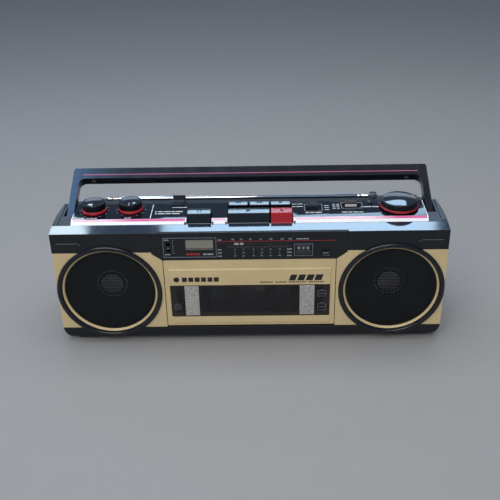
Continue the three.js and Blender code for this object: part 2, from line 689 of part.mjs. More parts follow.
function slideKnob(knob, slot) {
  const [x0, x1] = knob.x;
  const [y0, y1] = knob.y;
  const middle = (slot.y[0] + slot.y[1]) / 2;
  const low = SLIDE_RECESS + 0.3;
  const outline = [
    [y0, low], [y0 + 0.6, SLIDE_TOP - 1], [y0 + 2, SLIDE_TOP], [y1 - 2, SLIDE_TOP],
    [y1 - 0.6, SLIDE_TOP - 1], [y1, low],
  ];
  const cap = prismX(outline, x0, x1);
  const stem = box([(x0 + x1) / 2 - 2, (x0 + x1) / 2 + 2], [middle - 1.5, middle + 1.5], [141, low + 1]);
  return join(cap, stem);
}

// ---------------------------------------------------------------- antenna
function antennaBase() {
  const { pivotX: x, y, z, baseR } = ROD;
  const low = CHANNEL_Z + 0.4;
  const profile = [
    [0, 132], [4, 132], [4, low], [baseR, low], [baseR, 144.6], [4.4, 146.8], [2.4, 148], [0, 148],
  ];
  const slot = box([x - 8, x + 8], [y - 1.8, y + 1.8], [low + 0.3, 150]);
  return join(cut(turnedZ(profile, x, y, 28), slot), rodY(0.9, x, [y - 3, y + 3], z, 12));
}

function antennaOuter() {
  const { pivotX, y, z, r, leftEnd } = ROD;
  const start = pivotX - ROD.baseR - 0.5;
  let body = rodX(r, [leftEnd, start], y, z, 20);
  body = join(body, box([start - 2, pivotX], [y - 1.5, y + 1.5], [z - 2.4, z + 2.4]));
  body = join(body, rodY(2.4, pivotX, [y - 1.5, y + 1.5], z, 20));
  body = cut(body, rodX(2.6, [leftEnd - 1, 128], y, z, 20));
  return cut(body, rodY(1.2, pivotX, [y - 3, y + 3], z, 12));
}

function antennaMiddle() {
  const tube = rodX(2.25, [ROD.leftEnd - 6, 122], ROD.y, ROD.z, 16);
  return cut(tube, rodX(1.75, [ROD.leftEnd - 7, 112], ROD.y, ROD.z, 16));
}

function antennaTip() {
  const rod = rodX(1.4, [ROD.leftEnd - 14, 106], ROD.y, ROD.z, 12);
  return join(rod, rodX(2.6, [ROD.leftEnd - 20, ROD.leftEnd - 13], ROD.y, ROD.z, 16));
}

function antenna() {
  piece("antenna_base", antennaBase(), paint(0x55585e, 0.4));
  piece("antenna_outer_tube", antennaOuter(), chrome());
  piece("antenna_middle_tube", antennaMiddle(), chrome());
  piece("antenna_tip", antennaTip(), chrome());
}

// ---------------------------------------------------------------- handle
// Drawn upright about its pivot, then leaned back.
function handleFrame() {
  const { inner, outer, length, bar, half, trunnion } = HANDLE;
  const corner = 3;
  const fillet = 8;
  const low = -half;
  const outside = [[outer, low], ...arc(outer - corner, length - corner, corner, 0, 90, 4)];
  const underside = length - bar;
  const window = [[inner, low - 1], ...arc(inner - fillet, underside - fillet, fillet, 0, 90, 6)];
  let body = prismY(bothSides(outside), -half, half);
  body = cut(body, prismY(bothSides(window), -half - 1, half + 1));
  const side = [[half, 0], [half, length + 1], [-half, length + 1], ...arc(0, 0, half, 180, 350, 12)];
  body = body.intersect(prismX(side, -outer - 1, outer + 1));
  body = join(body, rodX(trunnion, [outer - 0.5, 216], 0, 0, 20));
  body = join(body, rodX(trunnion, [-216, 0.5 - outer], 0, 0, 20));
  const geometry = geometryOf(body).rotateX(-HANDLE_LEAN).translate(0, PIVOT.y, PIVOT.z);
  return solid(geometry);
}

// ---------------------------------------------------------------- inside and back
function mainBoard() {
  let body = box([-140, 140], [64, 65.6], [88, 136]);
  for (let i = 0; i < 6; i++) {
    const x = -115 + 44 * i;
    body = join(body, rodY(5 + (i % 3), x, [65, 78 + 2 * (i % 2)], 102, 16));
    body = join(body, box([x + 12, x + 26], [65, 70], [112, 122]));
  }
  return body;
}

function transformer() {
  const core = box([-197, -157], [56, 88], [92, 116]);
  return join(core, box([-190, -164], [54, 90], [86, 118]));
}

function batteryCover() {
  const { half, low, high, front } = COVER;
  return box([-half, half], [front, DEPTH], [low, high]);
}

function inletSocket() {
  const [x0, x1] = INLET.x;
  const [z0, z1] = INLET.z;
  const middle = { x: (x0 + x1) / 2, z: (z0 + z1) / 2 };
  let body = box(INLET.x, [88, DEPTH], INLET.z);
  body = cut(body, box(shrink(INLET.x, 3), [90.5, DEPTH + 1], shrink(INLET.z, 3)));
  for (const dx of [-3.5, 3.5])
    body = join(body, rodY(1.2, middle.x + dx, [90, 99], middle.z, 12));
  return body;
}

// ---------------------------------------------------------------- assembly
piece("front_cabinet", frontCabinet(), cream());
piece("front_fascia", frontFascia(), satinBlack());
piece("base_trim", baseTrim(), satinBlack());
piece("rear_cabinet", rearCabinet(), satinBlack());
piece("control_panel", controlPanel(), glossBlack());
for (const [word, side] of [["left", -1], ["right", 1]]) {
  piece(`end_cap_${word}`, endCap(side), satinBlack());
  piece(`foot_${word}`, foot(side), rubber());
  piece(`speaker_bezel_${word}`, speakerBezel(side), satinBlack());
  piece(`speaker_ring_${word}`, speakerRing(side), cream());
  piece(`speaker_grille_${word}`, speakerGrille(side), satinBlack());
  piece(`speaker_driver_${word}`, speakerDriver(side), satinBlack());
}
dialSection();
doorAssembly();
deck();
for (const key of KEYS) piece(key[0], keyCap(key), key[0] === "record_key" ? redPlastic() : glossBlack());
piece("key_guide_plate", keyGuidePlate(), steel());
piece("volume_knob", smallKnob(VOLUME), glossBlack());
piece("tone_knob", smallKnob(TONE), glossBlack());
piece("tuning_knob", tuningKnob(TUNING), glossBlack());
piece("function_switch_knob", slideKnob(FUNCTION_KNOB, FUNCTION_SLOT), glossBlack());
piece("band_selector_knob", slideKnob(BAND_KNOB, BAND_SLOT), glossBlack());
antenna();
piece("handle_frame", handleFrame(), satinBlack());
piece("main_circuit_board", mainBoard(), board());
piece("power_transformer", transformer(), steel());
piece("battery_cover", batteryCover(), satinBlack());
piece("ac_inlet", inletSocket(), satinBlack());

const extent = new THREE.Box3().setFromObject(player);
player.position.y = -(extent.min.y + extent.max.y) / 2;

export default player;
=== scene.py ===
import math

import bmesh
import bpy
from mathutils import Matrix, Vector


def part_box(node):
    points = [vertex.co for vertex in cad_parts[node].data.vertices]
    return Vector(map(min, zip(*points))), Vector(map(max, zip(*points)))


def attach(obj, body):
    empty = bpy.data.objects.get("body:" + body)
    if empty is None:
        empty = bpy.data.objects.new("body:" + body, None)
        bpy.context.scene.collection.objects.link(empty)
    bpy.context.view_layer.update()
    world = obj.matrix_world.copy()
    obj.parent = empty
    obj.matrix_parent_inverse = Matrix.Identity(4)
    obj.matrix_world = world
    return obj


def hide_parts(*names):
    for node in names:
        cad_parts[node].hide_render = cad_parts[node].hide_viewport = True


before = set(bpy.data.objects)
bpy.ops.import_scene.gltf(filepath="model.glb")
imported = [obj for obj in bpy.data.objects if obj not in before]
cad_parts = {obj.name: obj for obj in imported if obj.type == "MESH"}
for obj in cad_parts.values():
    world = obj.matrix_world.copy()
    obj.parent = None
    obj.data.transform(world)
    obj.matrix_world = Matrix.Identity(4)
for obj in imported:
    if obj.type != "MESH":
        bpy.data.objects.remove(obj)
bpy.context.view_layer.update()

# Positions are in millimetres from the middle of the cabinet's front face at floor level:
# x to the right, y to the back and z up.
MM = 0.001
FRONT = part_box("front_cabinet")[0].y
SIDES = {"left": -1, "right": 1}

DIAL_FACE = 0.0
DOOR_FACE = -1.2
WINDOW_FACE = -1.1
BACK = 101.0
UNDERSIDE = 3.5
LEDGE = 144.0  # top of the cabinet
PANEL = 150.0  # top of the control panel
KNOB_FOOT = PANEL + 0.5
SPEAKER = (160.2, 68.4)  # x and z of a speaker's middle
VOLUME = (-176.5, 45.4)  # x and y of the knobs
TONE = (-135.0, 47.2)
TUNING = (170.0, 45.3)
PIVOT = (46.4, 134.3)  # y and z of the handle's pivots
HANDLE_LEAN = math.radians(63.66)
HANDLE_LENGTH = 76.9
HANDLE_HALF = 5.35
ROD = (89.0, 143.5)  # y and z of the antenna's axis
INK = 0.06  # thickness of a printed mark
AXIS_RADIUS = 0.01  # where a turned profile meets its axis


def at(x, y, z):
    return Vector((x * MM, FRONT + y * MM, z * MM))


def around(middle, half):
    return (middle - half, middle + half)


def middle_of(limits):
    return (limits[0] + limits[1]) / 2


def mirrored(side, near, far):
    """Limits in x of something between `near` and `far` from the middle, on one side."""
    return tuple(sorted((side * near, side * far)))


# ---------------- materials
EVEN = (1.0, 1.0, 1.0)
BRUSHED = (20.0, 1.0, 1.0)
DUST_COLOR = (0.62, 0.6, 0.56, 1.0)
CLOUD_SIZE = 0.03
SMEAR_SIZE = 0.012
SCUFF_SIZE = 0.004
SPECK_SIZE = 0.0011
WORN_EDGE = 0.0007
GRAIN_DEPTH = 0.0001
# width of the blend between a print and its painted glare
GLARE_BLEND = 0.015


def shade(color, factor):
    return tuple(min(1.0, c * factor) for c in color) + (1.0,)


def link(tree, source, target):
    tree.links.new(source, target)


def object_place(tree):
    return tree.nodes.new("ShaderNodeTexCoord").outputs["Object"]


def noise(tree, coordinates, size, detail=3.0, stretch=EVEN):
    """A noise of features of about `size` metres, stretched along the axes."""
    mapping = tree.nodes.new("ShaderNodeMapping")
    mapping.inputs["Scale"].default_value = [1.0 / (size * s) for s in stretch]
    texture = tree.nodes.new("ShaderNodeTexNoise")
    texture.inputs["Scale"].default_value = 1.0
    texture.inputs["Detail"].default_value = detail
    link(tree, coordinates, mapping.inputs["Vector"])
    link(tree, mapping.outputs["Vector"], texture.inputs["Vector"])
    return texture.outputs["Fac"]


def spread(tree, value, low, high, to_low, to_high):
    """Maps a value from one range onto another, held inside it."""
    node = tree.nodes.new("ShaderNodeMapRange")
    limits = {"From Min": low, "From Max": high, "To Min": to_low, "To Max": to_high}
    for socket, number in limits.items():
        node.inputs[socket].default_value = number
    link(tree, value, node.inputs["Value"])
    return node.outputs["Result"]


def blend_colors(tree, factor, first, second):
    node = tree.nodes.new("ShaderNodeMix")
    node.data_type = "RGBA"
    link(tree, factor, node.inputs[0])
    for socket, color in ((node.inputs[6], first), (node.inputs[7], second)):
        if isinstance(color, tuple):
            socket.default_value = color
        else:
            link(tree, color, socket)
    return node.outputs[2]


def multiply(tree, first, second):
    node = tree.nodes.new("ShaderNodeMath")
    node.operation = "MULTIPLY"
    link(tree, first, node.inputs[0])
    link(tree, second, node.inputs[1])
    return node.outputs[0]


def edge_mask(tree, radius):
    """1 along the edges of a piece and 0 on its flats."""
    rounded = tree.nodes.new("ShaderNodeBevel")
    rounded.samples = 4
    rounded.inputs["Radius"].default_value = radius
    geometry = tree.nodes.new("ShaderNodeNewGeometry")
    dot = tree.nodes.new("ShaderNodeVectorMath")
    dot.operation = "DOT_PRODUCT"
    link(tree, rounded.outputs["Normal"], dot.inputs[0])
    link(tree, geometry.outputs["Normal"], dot.inputs[1])
    return spread(tree, dot.outputs["Value"], 0.99, 0.85, 0.0, 1.0)


def surface(name, color, roughness, *, metallic=0.0, ior=1.5, alpha=1.0, grain=0.0,
            grain_size=0.0005, mottle=0.06, uneven=0.2, wear=0.0, dust=0.0, stretch=EVEN):
    """A finish with mottled colour, uneven gloss, grain, worn edges and dust."""
    material = bpy.data.materials.new(name)
    material.use_nodes = True
    tree = material.node_tree
    shader = tree.nodes["Principled BSDF"]
    shader.inputs["Metallic"].default_value = metallic
    shader.inputs["IOR"].default_value = ior
    shader.inputs["Alpha"].default_value = alpha
    place = object_place(tree)
    clouds = spread(tree, noise(tree, place, CLOUD_SIZE, 4.0, stretch), 0.3, 0.7, 0.0, 1.0)
    tint = blend_colors(tree, clouds, shade(color, 1 - mottle), shade(color, 1 + mottle))
    if wear:
        scuffs = spread(tree, noise(tree, place, SCUFF_SIZE, 5.0), 0.42, 0.62, 0.0, wear)
        worn = multiply(tree, edge_mask(tree, WORN_EDGE), scuffs)
        tint = blend_colors(tree, worn, tint, shade(tuple(c + 0.12 for c in color), 1.25))
    if dust:
        specks = spread(tree, noise(tree, place, SPECK_SIZE, 2.0), 0.68, 0.76, 0.0, dust)
        tint = blend_colors(tree, specks, tint, DUST_COLOR)
    link(tree, tint, shader.inputs["Base Color"])
    smears = noise(tree, place, SMEAR_SIZE, 4.0, stretch)
    gloss = spread(tree, smears, 0.3, 0.7, roughness * (1 - uneven), roughness * (1 + uneven))
    link(tree, gloss, shader.inputs["Roughness"])
    if grain:
        bump = tree.nodes.new("ShaderNodeBump")
        bump.inputs["Strength"].default_value = grain
        bump.inputs["Distance"].default_value = GRAIN_DEPTH
        link(tree, noise(tree, place, grain_size, 2.0, stretch), bump.inputs["Height"])
        link(tree, bump.outputs["Normal"], shader.inputs["Normal"])
    return material


def fading(name, color, glare_color, spans):
    """A print that is strong within the spans, given in metres across, and painted pale elsewhere:
    painted glare, a reflection of the sky baked into its colour.
    """
    material = surface(name, glare_color, 0.35, mottle=0.08)
    tree = material.node_tree
    place = object_place(tree)
    across = tree.nodes.new("ShaderNodeSeparateXYZ")
    link(tree, place, across.inputs["Vector"])
    base = tree.nodes["Principled BSDF"].inputs["Base Color"]
    tint = base.links[0].from_socket
    for start, end in spans:
        rise = spread(tree, across.outputs["X"], start - GLARE_BLEND, start + GLARE_BLEND, 0.0, 1.0)
        fall = spread(tree, across.outputs["X"], end - GLARE_BLEND, end + GLARE_BLEND, 1.0, 0.0)
        tint = blend_colors(tree, multiply(tree, rise, fall), tint, (*color, 1.0))
    link(tree, tint, base)
    return material


def speckled(name, color, fleck, size):
    """A sparkling paint: fine flecks of one colour scattered in another."""
    material = surface(name, color, 0.35, metallic=0.4, grain=0.3, grain_size=size)
    tree = material.node_tree
    flecks = spread(tree, noise(tree, object_place(tree), size, 3.0), 0.45, 0.6, 0.0, 1.0)
    base = tree.nodes["Principled BSDF"].inputs["Base Color"]
    link(tree, blend_colors(tree, flecks, base.links[0].from_socket, fleck), base)
    return material


# Cabinet and panel.
CREAM = surface("cream_plastic", (0.60, 0.475, 0.262), 0.42, grain=0.35, grain_size=0.0004,
                mottle=0.05, wear=0.35, dust=0.10)
SATIN = surface("satin_black", (0.009, 0.011, 0.014), 0.42, ior=1.42, grain=0.25,
                grain_size=0.0004, mottle=0.15, wear=0.5, dust=0.04)
SHEEN = surface("half_gloss_black", (0.007, 0.008, 0.013), 0.22, grain=0.06,
                grain_size=0.0006, mottle=0.2, wear=0.4, dust=0.03)
GLOSS = surface("gloss_black", (0.005, 0.007, 0.014), 0.07, ior=1.7, grain=0.006,
                grain_size=0.006, mottle=0.2, uneven=0.3, wear=0.25, dust=0.02)
PANEL_GLOSS = surface("panel_gloss", (0.003, 0.006, 0.013), 0.07, grain=0.006,
                      grain_size=0.006, mottle=0.2, uneven=0.3, wear=0.25, dust=0.01)
LEDGE_GLOSS = surface("blue_black_gloss", (0.012, 0.022, 0.040), 0.09, ior=1.8, grain=0.01,
                      grain_size=0.006, mottle=0.15, wear=0.2, dust=0.02)
SLATE = surface("slate_plastic", (0.022, 0.028, 0.038), 0.36, grain=0.25, mottle=0.1,
                wear=0.4, dust=0.05)
SLATE_GREY = surface("slate_grey_plastic", (0.085, 0.10, 0.12), 0.35, grain=0.2, mottle=0.1,
                     wear=0.3)
RUBBER = surface("rubber", (0.014, 0.014, 0.014), 0.8, grain=0.4, mottle=0.2, dust=0.15)

# Keys, knobs and buttons.
KEY_GLOSS = surface("key_gloss", (0.004, 0.005, 0.008), 0.12, ior=1.75, grain=0.01,
                    grain_size=0.004, mottle=0.15, uneven=0.3, wear=0.2, dust=0.01)
KNOB_SIDE = surface("knob_side", (0.004, 0.004, 0.006), 0.35, ior=1.35, grain=0.1, mottle=0.2,
                    wear=0.2)
RED = surface("red_plastic", (0.34, 0.010, 0.018), 0.26, grain=0.06, mottle=0.1, wear=0.2)
AMBER = surface("brown_knob", (0.035, 0.022, 0.016), 0.3, grain=0.1, mottle=0.2)
WHITE = surface("white_plastic", (0.8, 0.8, 0.76), 0.35, mottle=0.04)
WHEEL_GREY = surface("wheel_grey", (0.075, 0.082, 0.09), 0.4, grain=0.1, mottle=0.1)
SMOKE_GREY = surface("smoke_grey", (0.030, 0.035, 0.042), 0.25, mottle=0.2)

# Prints, and colours that also carry painted highlights and painted glare.
RED_INK = surface("red_ink", (0.36, 0.02, 0.025), 0.4, mottle=0.12)
PINK_LINE = surface("pink_line", (0.30, 0.06, 0.13), 0.35, mottle=0.12)
# The pink band is pink all along; its pale stretches outside the spans are painted glare, a
# painted reflection of the sky.
PINK_BAND = fading("pink_band", (0.66, 0.11, 0.30), (0.80, 0.52, 0.64),
                   ((-0.145, -0.06), (0.15, 0.25)))
# White for prints and, on the band slider, a painted highlight.
WHITE_INK_AND_HIGHLIGHT = surface("white_ink_and_highlight", (0.62, 0.64, 0.66), 0.5, mottle=0.15)
PALE_INK = surface("pale_ink", (0.36, 0.37, 0.40), 0.5, mottle=0.15)
# Grey for prints and, on the fascia grooves and the reset button, painted highlights.
GREY_INK_AND_HIGHLIGHTS = surface("grey_ink_and_highlights", (0.13, 0.145, 0.18), 0.5, mottle=0.15)
BLACK_INK = surface("black_ink", (0.012, 0.012, 0.014), 0.4, mottle=0.2)

# Metals, glass and the inside.
CHROME = surface("chrome", (0.82, 0.83, 0.85), 0.09, metallic=1.0, grain=0.02, mottle=0.04,
                 uneven=0.5, stretch=BRUSHED)
# The riser's bright strip, and painted highlights along the panel's ends.
STRIP_AND_HIGHLIGHTS = surface("bright_strip_and_highlights", (0.92, 0.92, 0.94), 0.3, metallic=0.3, grain=0.03,
                mottle=0.03, stretch=BRUSHED)
SILVER = speckled("silver_bar", (0.36, 0.345, 0.33), (0.62, 0.6, 0.58, 1.0), 0.0012)
STEEL = surface("zinc_steel", (0.5, 0.5, 0.51), 0.34, metallic=1.0, grain=0.08,
                grain_size=0.0003, mottle=0.1)
BRASS = surface("brass", (0.6, 0.42, 0.16), 0.3, metallic=1.0, mottle=0.1)
SMOKED = surface("smoked_window", (0.010, 0.011, 0.014), 0.07, alpha=0.6, mottle=0.2,
                 uneven=0.6, dust=0.06)
SLOT_GLASS = surface("slot_glass", (0.11, 0.115, 0.125), 0.2, alpha=0.14, mottle=0.1)
LCD = surface("display_glass", (0.235, 0.235, 0.2), 0.25, grain=0.05, mottle=0.05)
CONE = surface("speaker_paper", (0.02, 0.021, 0.024), 0.85, grain=0.6, grain_size=0.0009,
               mottle=0.2)
CAP = surface("dust_cap", (0.92, 0.91, 0.89), 0.36, metallic=0.85, grain=0.1, mottle=0.1)
MESH = surface("grille_paint", (0.005, 0.007, 0.009), 0.5, ior=1.4, mottle=0.2)
SPINDLE = surface("brown_spindle", (0.16, 0.11, 0.07), 0.4, mottle=0.1)
ROSE = surface("rose_plastic", (0.80, 0.55, 0.56), 0.4, mottle=0.1)
BOARD = surface("brown_laminate", (0.33, 0.2, 0.08), 0.55, grain=0.3, mottle=0.15)


# ---------------- making pieces
SMOOTH_ANGLE = 35
BEVEL_ANGLE = 40


def new_piece(name, mesh, body, *materials):
    piece = bpy.data.objects.new(name, mesh)
    bpy.context.scene.collection.objects.link(piece)
    for material in materials:
        mesh.materials.append(material)
    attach(piece, body)
    return piece


def plain_mesh(name, shape):
    """Turns a bmesh into a mesh and frees it."""
    mesh = bpy.data.meshes.new(name)
    shape.to_mesh(mesh)
    shape.free()
    return mesh


def shade_by_angle(mesh, angle):
    mesh.shade_smooth()
    mesh.set_sharp_from_angle(angle=math.radians(angle))


def from_bmesh(name, shape, body, *materials, soft=0.0):
    """A piece from a bmesh, with its edges rounded by `soft` millimetres."""
    bmesh.ops.recalc_face_normals(shape, faces=shape.faces)
    mesh = plain_mesh(name, shape)
    shade_by_angle(mesh, SMOOTH_ANGLE)
    piece = new_piece(name, mesh, body, *materials)
    if soft:
        soften(piece, soft)
    return piece


def soften(piece, width):
    """Rounds the piece's edges by `width` millimetres and keeps its flats flat."""
    bevel = piece.modifiers.new("soft_edges", "BEVEL")
    bevel.width = width * MM
    bevel.segments = 2
    bevel.limit_method = "ANGLE"
    bevel.angle_limit = math.radians(BEVEL_ANGLE)
    bevel.use_clamp_overlap = True
    shading = piece.modifiers.new("flat_shading", "WEIGHTED_NORMAL")
    shading.weight = 100
    shading.keep_sharp = True


def add_band(shape, one, two, slot=0):
    """Joins two rings of corners with a band of faces."""
    for i, corner in enumerate(one):
        j = (i + 1) % len(one)
        shape.faces.new((corner, one[j], two[j], two[i])).material_index = slot


def add_box(shape, x, y, z, slot=0):
    """Adds a box between the given limits."""
    corners = [shape.verts.new(at(a, b, c)) for a in x for b in y for c in z]
    quads = ((0, 1, 3, 2), (4, 6, 7, 5), (0, 4, 5, 1), (2, 3, 7, 6), (0, 2, 6, 4), (1, 5, 7, 3))
    for quad in quads:
        shape.faces.new([corners[i] for i in quad]).material_index = slot


def add_ring_frame(shape, x, z, width, y):
    """Adds a flat rectangular outline that stands on the front."""
    add_box(shape, x, y, (z[0], z[0] + width))
    add_box(shape, x, y, (z[1] - width, z[1]))
    add_box(shape, (x[0], x[0] + width), y, (z[0] + width, z[1] - width))
    add_box(shape, (x[1] - width, x[1]), y, (z[0] + width, z[1] - width))


def add_prism(shape, outline, limits, axis):
    """Adds an outline in (x, z), (x, y) or (y, z), drawn out along the axis left over."""
    orders = {"x": lambda u, v, w: at(w, u, v),
              "y": lambda u, v, w: at(u, w, v),
              "z": lambda u, v, w: at(u, v, w)}
    near, far = ([shape.verts.new(orders[axis](u, v, w)) for u, v in outline] for w in limits)
    shape.faces.new(near)
    shape.faces.new(far)
    add_band(shape, near, far)


def boxes(name, body, items, *materials, soft=0.0):
    """One piece made of boxes: limits in x, y and z and, if wanted, a material's number."""
    shape = bmesh.new()
    for item in items:
        add_box(shape, *item)
    return from_bmesh(name, shape, body, *materials, soft=soft)


def prism(name, body, outline, limits, axis, *materials, soft=0.0):
    shape = bmesh.new()
    add_prism(shape, outline, limits, axis)
    return from_bmesh(name, shape, body, *materials, soft=soft)


def lathe(name, body, profile, centre, axis, *materials, slots=None, segments=96, closed=True):
    """Turns a profile of (radius, height) about an axis. An open profile gets flat ends."""
    shape = bmesh.new()
    rings = []
    for radius, height in profile:
        ring = []
        for i in range(segments):
            angle = 2 * math.pi * i / segments
            u, v = radius * math.cos(angle), radius * math.sin(angle)
            spots = {"x": (height, u, v), "y": (u, height, v), "z": (u, v, height)}
            ring.append(shape.verts.new(at(*(Vector(spots[axis]) + Vector(centre)))))
        rings.append(ring)
    pairs = list(zip(rings, rings[1:])) + ([(rings[-1], rings[0])] if closed else [])
    for index, (one, two) in enumerate(pairs):
        add_band(shape, one, two, slots[index] if slots else 0)
    if not closed:
        for end in (0, -1):
            shape.faces.new(rings[end]).material_index = slots[end] if slots else 0
    bmesh.ops.remove_doubles(shape, verts=shape.verts, dist=1e-7)
    return from_bmesh(name, shape, body, *materials)


def arc(u, v, ru, rv, start, end, steps):
    angles = [math.radians(start + (end - start) * i / steps) for i in range(steps + 1)]
    return [(u + ru * math.cos(a), v + rv * math.sin(a)) for a in angles]


def add_figure(shape, text, size, matrix):
    """Adds a number of the given type size, drawn about the origin and moved by the matrix."""
    curve = bpy.data.curves.new("figure", "FONT")
    curve.body = text
    curve.size = size
    curve.align_x = "CENTER"
    curve.align_y = "CENTER"
    curve.extrude = INK * MM / 2
    maker = bpy.data.objects.new("figure", curve)
    mesh = bpy.data.meshes.new_from_object(maker)
    mesh.transform(matrix)
    shape.from_mesh(mesh)
    bpy.data.objects.remove(maker)


def dress(node, material, soft=0.4, zones=(), smooth=SMOOTH_ANGLE):
    """Gives a CAD node its finish. Each zone is (material, test).

    The test is given a face's centre in millimetres and its normal.
    """
    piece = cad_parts[node]
    mesh = piece.data
    mesh.materials.clear()
    for finish in (material, *(zone[0] for zone in zones)):
        mesh.materials.append(finish)
    for face in mesh.polygons:
        middle = Vector((face.center.x, face.center.y - FRONT, face.center.z)) / MM
        inside = [i for i, zone in enumerate(zones) if zone[1](middle, face.normal)]
        face.material_index = 1 + inside[0] if inside else 0
    weld = piece.modifiers.new("weld", "WELD")
    weld.merge_threshold = 1e-6
    flats = piece.modifiers.new("flats", "DECIMATE")
    flats.decimate_type = "DISSOLVE"
    flats.angle_limit = math.radians(0.5)
    flats.delimit = {"MATERIAL"}
    shade_by_angle(mesh, smooth)
    if soft:
        soften(piece, soft)


# ---------------- cabinet
def is_top(middle, normal):
    return normal.z > 0.9 and middle.z > LEDGE - 0.5


def is_riser(middle, normal):
    return normal.y < -0.3 and normal.z > 0.3


def cabinet():
    dress("front_cabinet", CREAM, 0.5)
    dress("front_fascia", SATIN, 0.9, [(LEDGE_GLOSS, is_top)])
    dress("base_trim", SATIN, 1.0)
    dress("rear_cabinet", SATIN, 0.8, [(SHEEN, is_top)])
    dress("control_panel", PANEL_GLOSS, 0.25, [(STRIP_AND_HIGHLIGHTS, is_riser)], smooth=20)
    for word in SIDES:
        dress(f"end_cap_{word}", SLATE, 0.7)
        dress(f"foot_{word}", RUBBER, 0.6)
    dress("dial_panel", SATIN, 0.2)
    # Grey lines where the fascia has grooves: painted highlights along the grooves' lit lower
    # edges.
    y = (-0.05, 0.5)
    grooves = [(mirrored(side, 190.2, 213.6), y, (131.6, 132.2)) for side in SIDES.values()]
    grooves += [(mirrored(side, 187.4, 189.0), y, (129.8, 131.2)) for side in SIDES.values()]
    boxes("fascia_groove_highlights", "cabinet", grooves, GREY_INK_AND_HIGHLIGHTS, soft=0.15)


# ---------------- speakers
GRILLE_PITCH = 2.3
GRILLE_HOLE = 0.76
GRILLE_OPEN = 52.2
GRILLE_EDGE = 54.2
GRILLE_FACE = 3.5
GRILLE_THICKNESS = 0.5
RIM_SEGMENTS = 96


def hexagon(radius):
    angles = [math.radians(30 + 60 * i) for i in range(6)]
    return [(radius * math.cos(a), radius * math.sin(a)) for a in angles]


def perforated_sheet(shape, x, z, y):
    """A flat sheet of hexagonal cells, each with a hole, inside a plain rim."""
    corners = {}

    def corner(u, v):
        key = (round(u, 2), round(v, 2))
        if key not in corners:
            corners[key] = shape.verts.new(at(x + u, y, z + v))
        return corners[key]

    cell = hexagon(GRILLE_PITCH / math.sqrt(3))
    hole = hexagon(GRILLE_HOLE)
    rows = int(GRILLE_EDGE / (GRILLE_PITCH * math.sqrt(3) / 2))
    for row in range(-rows, rows + 1):
        v = row * GRILLE_PITCH * math.sqrt(3) / 2
        shift = GRILLE_PITCH / 2 * (row % 2)
        for column in range(-rows, rows + 1):
            u = column * GRILLE_PITCH + shift
            if math.hypot(u, v) > GRILLE_OPEN:
                continue
            outer = [corner(u + a, v + b) for a, b in cell]
            inner = [shape.verts.new(at(x + u + a, y, z + v + b)) for a, b in hole]
            add_band(shape, outer, inner)
    rings = []
    for r in (GRILLE_OPEN - 0.6, GRILLE_EDGE):
        angles = [2 * math.pi * i / RIM_SEGMENTS for i in range(RIM_SEGMENTS)]
        rings.append([shape.verts.new(at(x + r * math.cos(a), y - 0.02, z + r * math.sin(a)))
                      for a in angles])
    add_band(shape, *rings)


def speaker(word, side):
    x, z = side * SPEAKER[0], SPEAKER[1]
    centre = (x, 0, z)
    inner_curve = arc(57.0, -0.7, 2.4, 2.4, 180, 270, 7)
    outer_curve = arc(57.0, -0.7, 3.2, 2.4, 270, 360, 8)[1:]
    bezel = [*inner_curve, *outer_curve, (60.2, -0.3), (56.5, -0.3), (56.5, 9), (50.5, 9),
             (50.5, 4.2), (54.6, 4.2)]
    piece = lathe(f"bezel_{word}", "cabinet", bezel, centre, "y", SHEEN, segments=144)
    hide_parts(f"speaker_bezel_{word}")
    ring = [(54.3, 0.7), (54.0, 0.4), (53.6, 0.4), (52.8, 1.0), (52.2, 1.7), (51.9, 2.3),
            (51.9, 2.8), (54.3, 2.8)]
    piece = lathe(f"trim_ring_{word}", "cabinet", ring, centre, "y", CREAM, segments=144)
    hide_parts(f"speaker_ring_{word}")
    shape = bmesh.new()
    perforated_sheet(shape, x, z, GRILLE_FACE)
    mesh = plain_mesh(f"grille_{word}", shape)
    piece = new_piece(f"grille_{word}", mesh, "cabinet", MESH)
    thick = piece.modifiers.new("thickness", "SOLIDIFY")
    thick.thickness = GRILLE_THICKNESS * MM
    thick.offset = 0.0
    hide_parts(f"speaker_grille_{word}")
    driver(word, centre)


def driver(word, centre):
    """Dust cap with a bright collar, cone with a rolled surround, basket and magnet."""
    cap = arc(0, 21.4, 16, 6.4, 270, 345, 15)
    collar = [(16.2, 19.6), (16.5, 18.9), (17.2, 18.7), (17.6, 19.6)]
    roll = arc(46, 9.9, 3.2, 3.0, 180, 360, 10)
    back_outline = [(53.4, 9.6), (53.4, 12.5), (47, 12.5), (20, 27), (20, 36), (29, 36), (29, 50),
                    (AXIS_RADIUS, 50)]
    profile = [*cap, *collar, (30, 15.2), *roll, *back_outline]
    bright = [radius < 12.5 for radius, _ in cap] + [True] * (len(collar) - 1)
    slots = [int(shiny) for shiny in bright] + [0] * (len(profile) - len(bright))
    piece = lathe(f"driver_{word}", "cabinet", profile, centre, "y", CONE, CAP, slots=slots)
    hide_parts(f"speaker_driver_{word}")


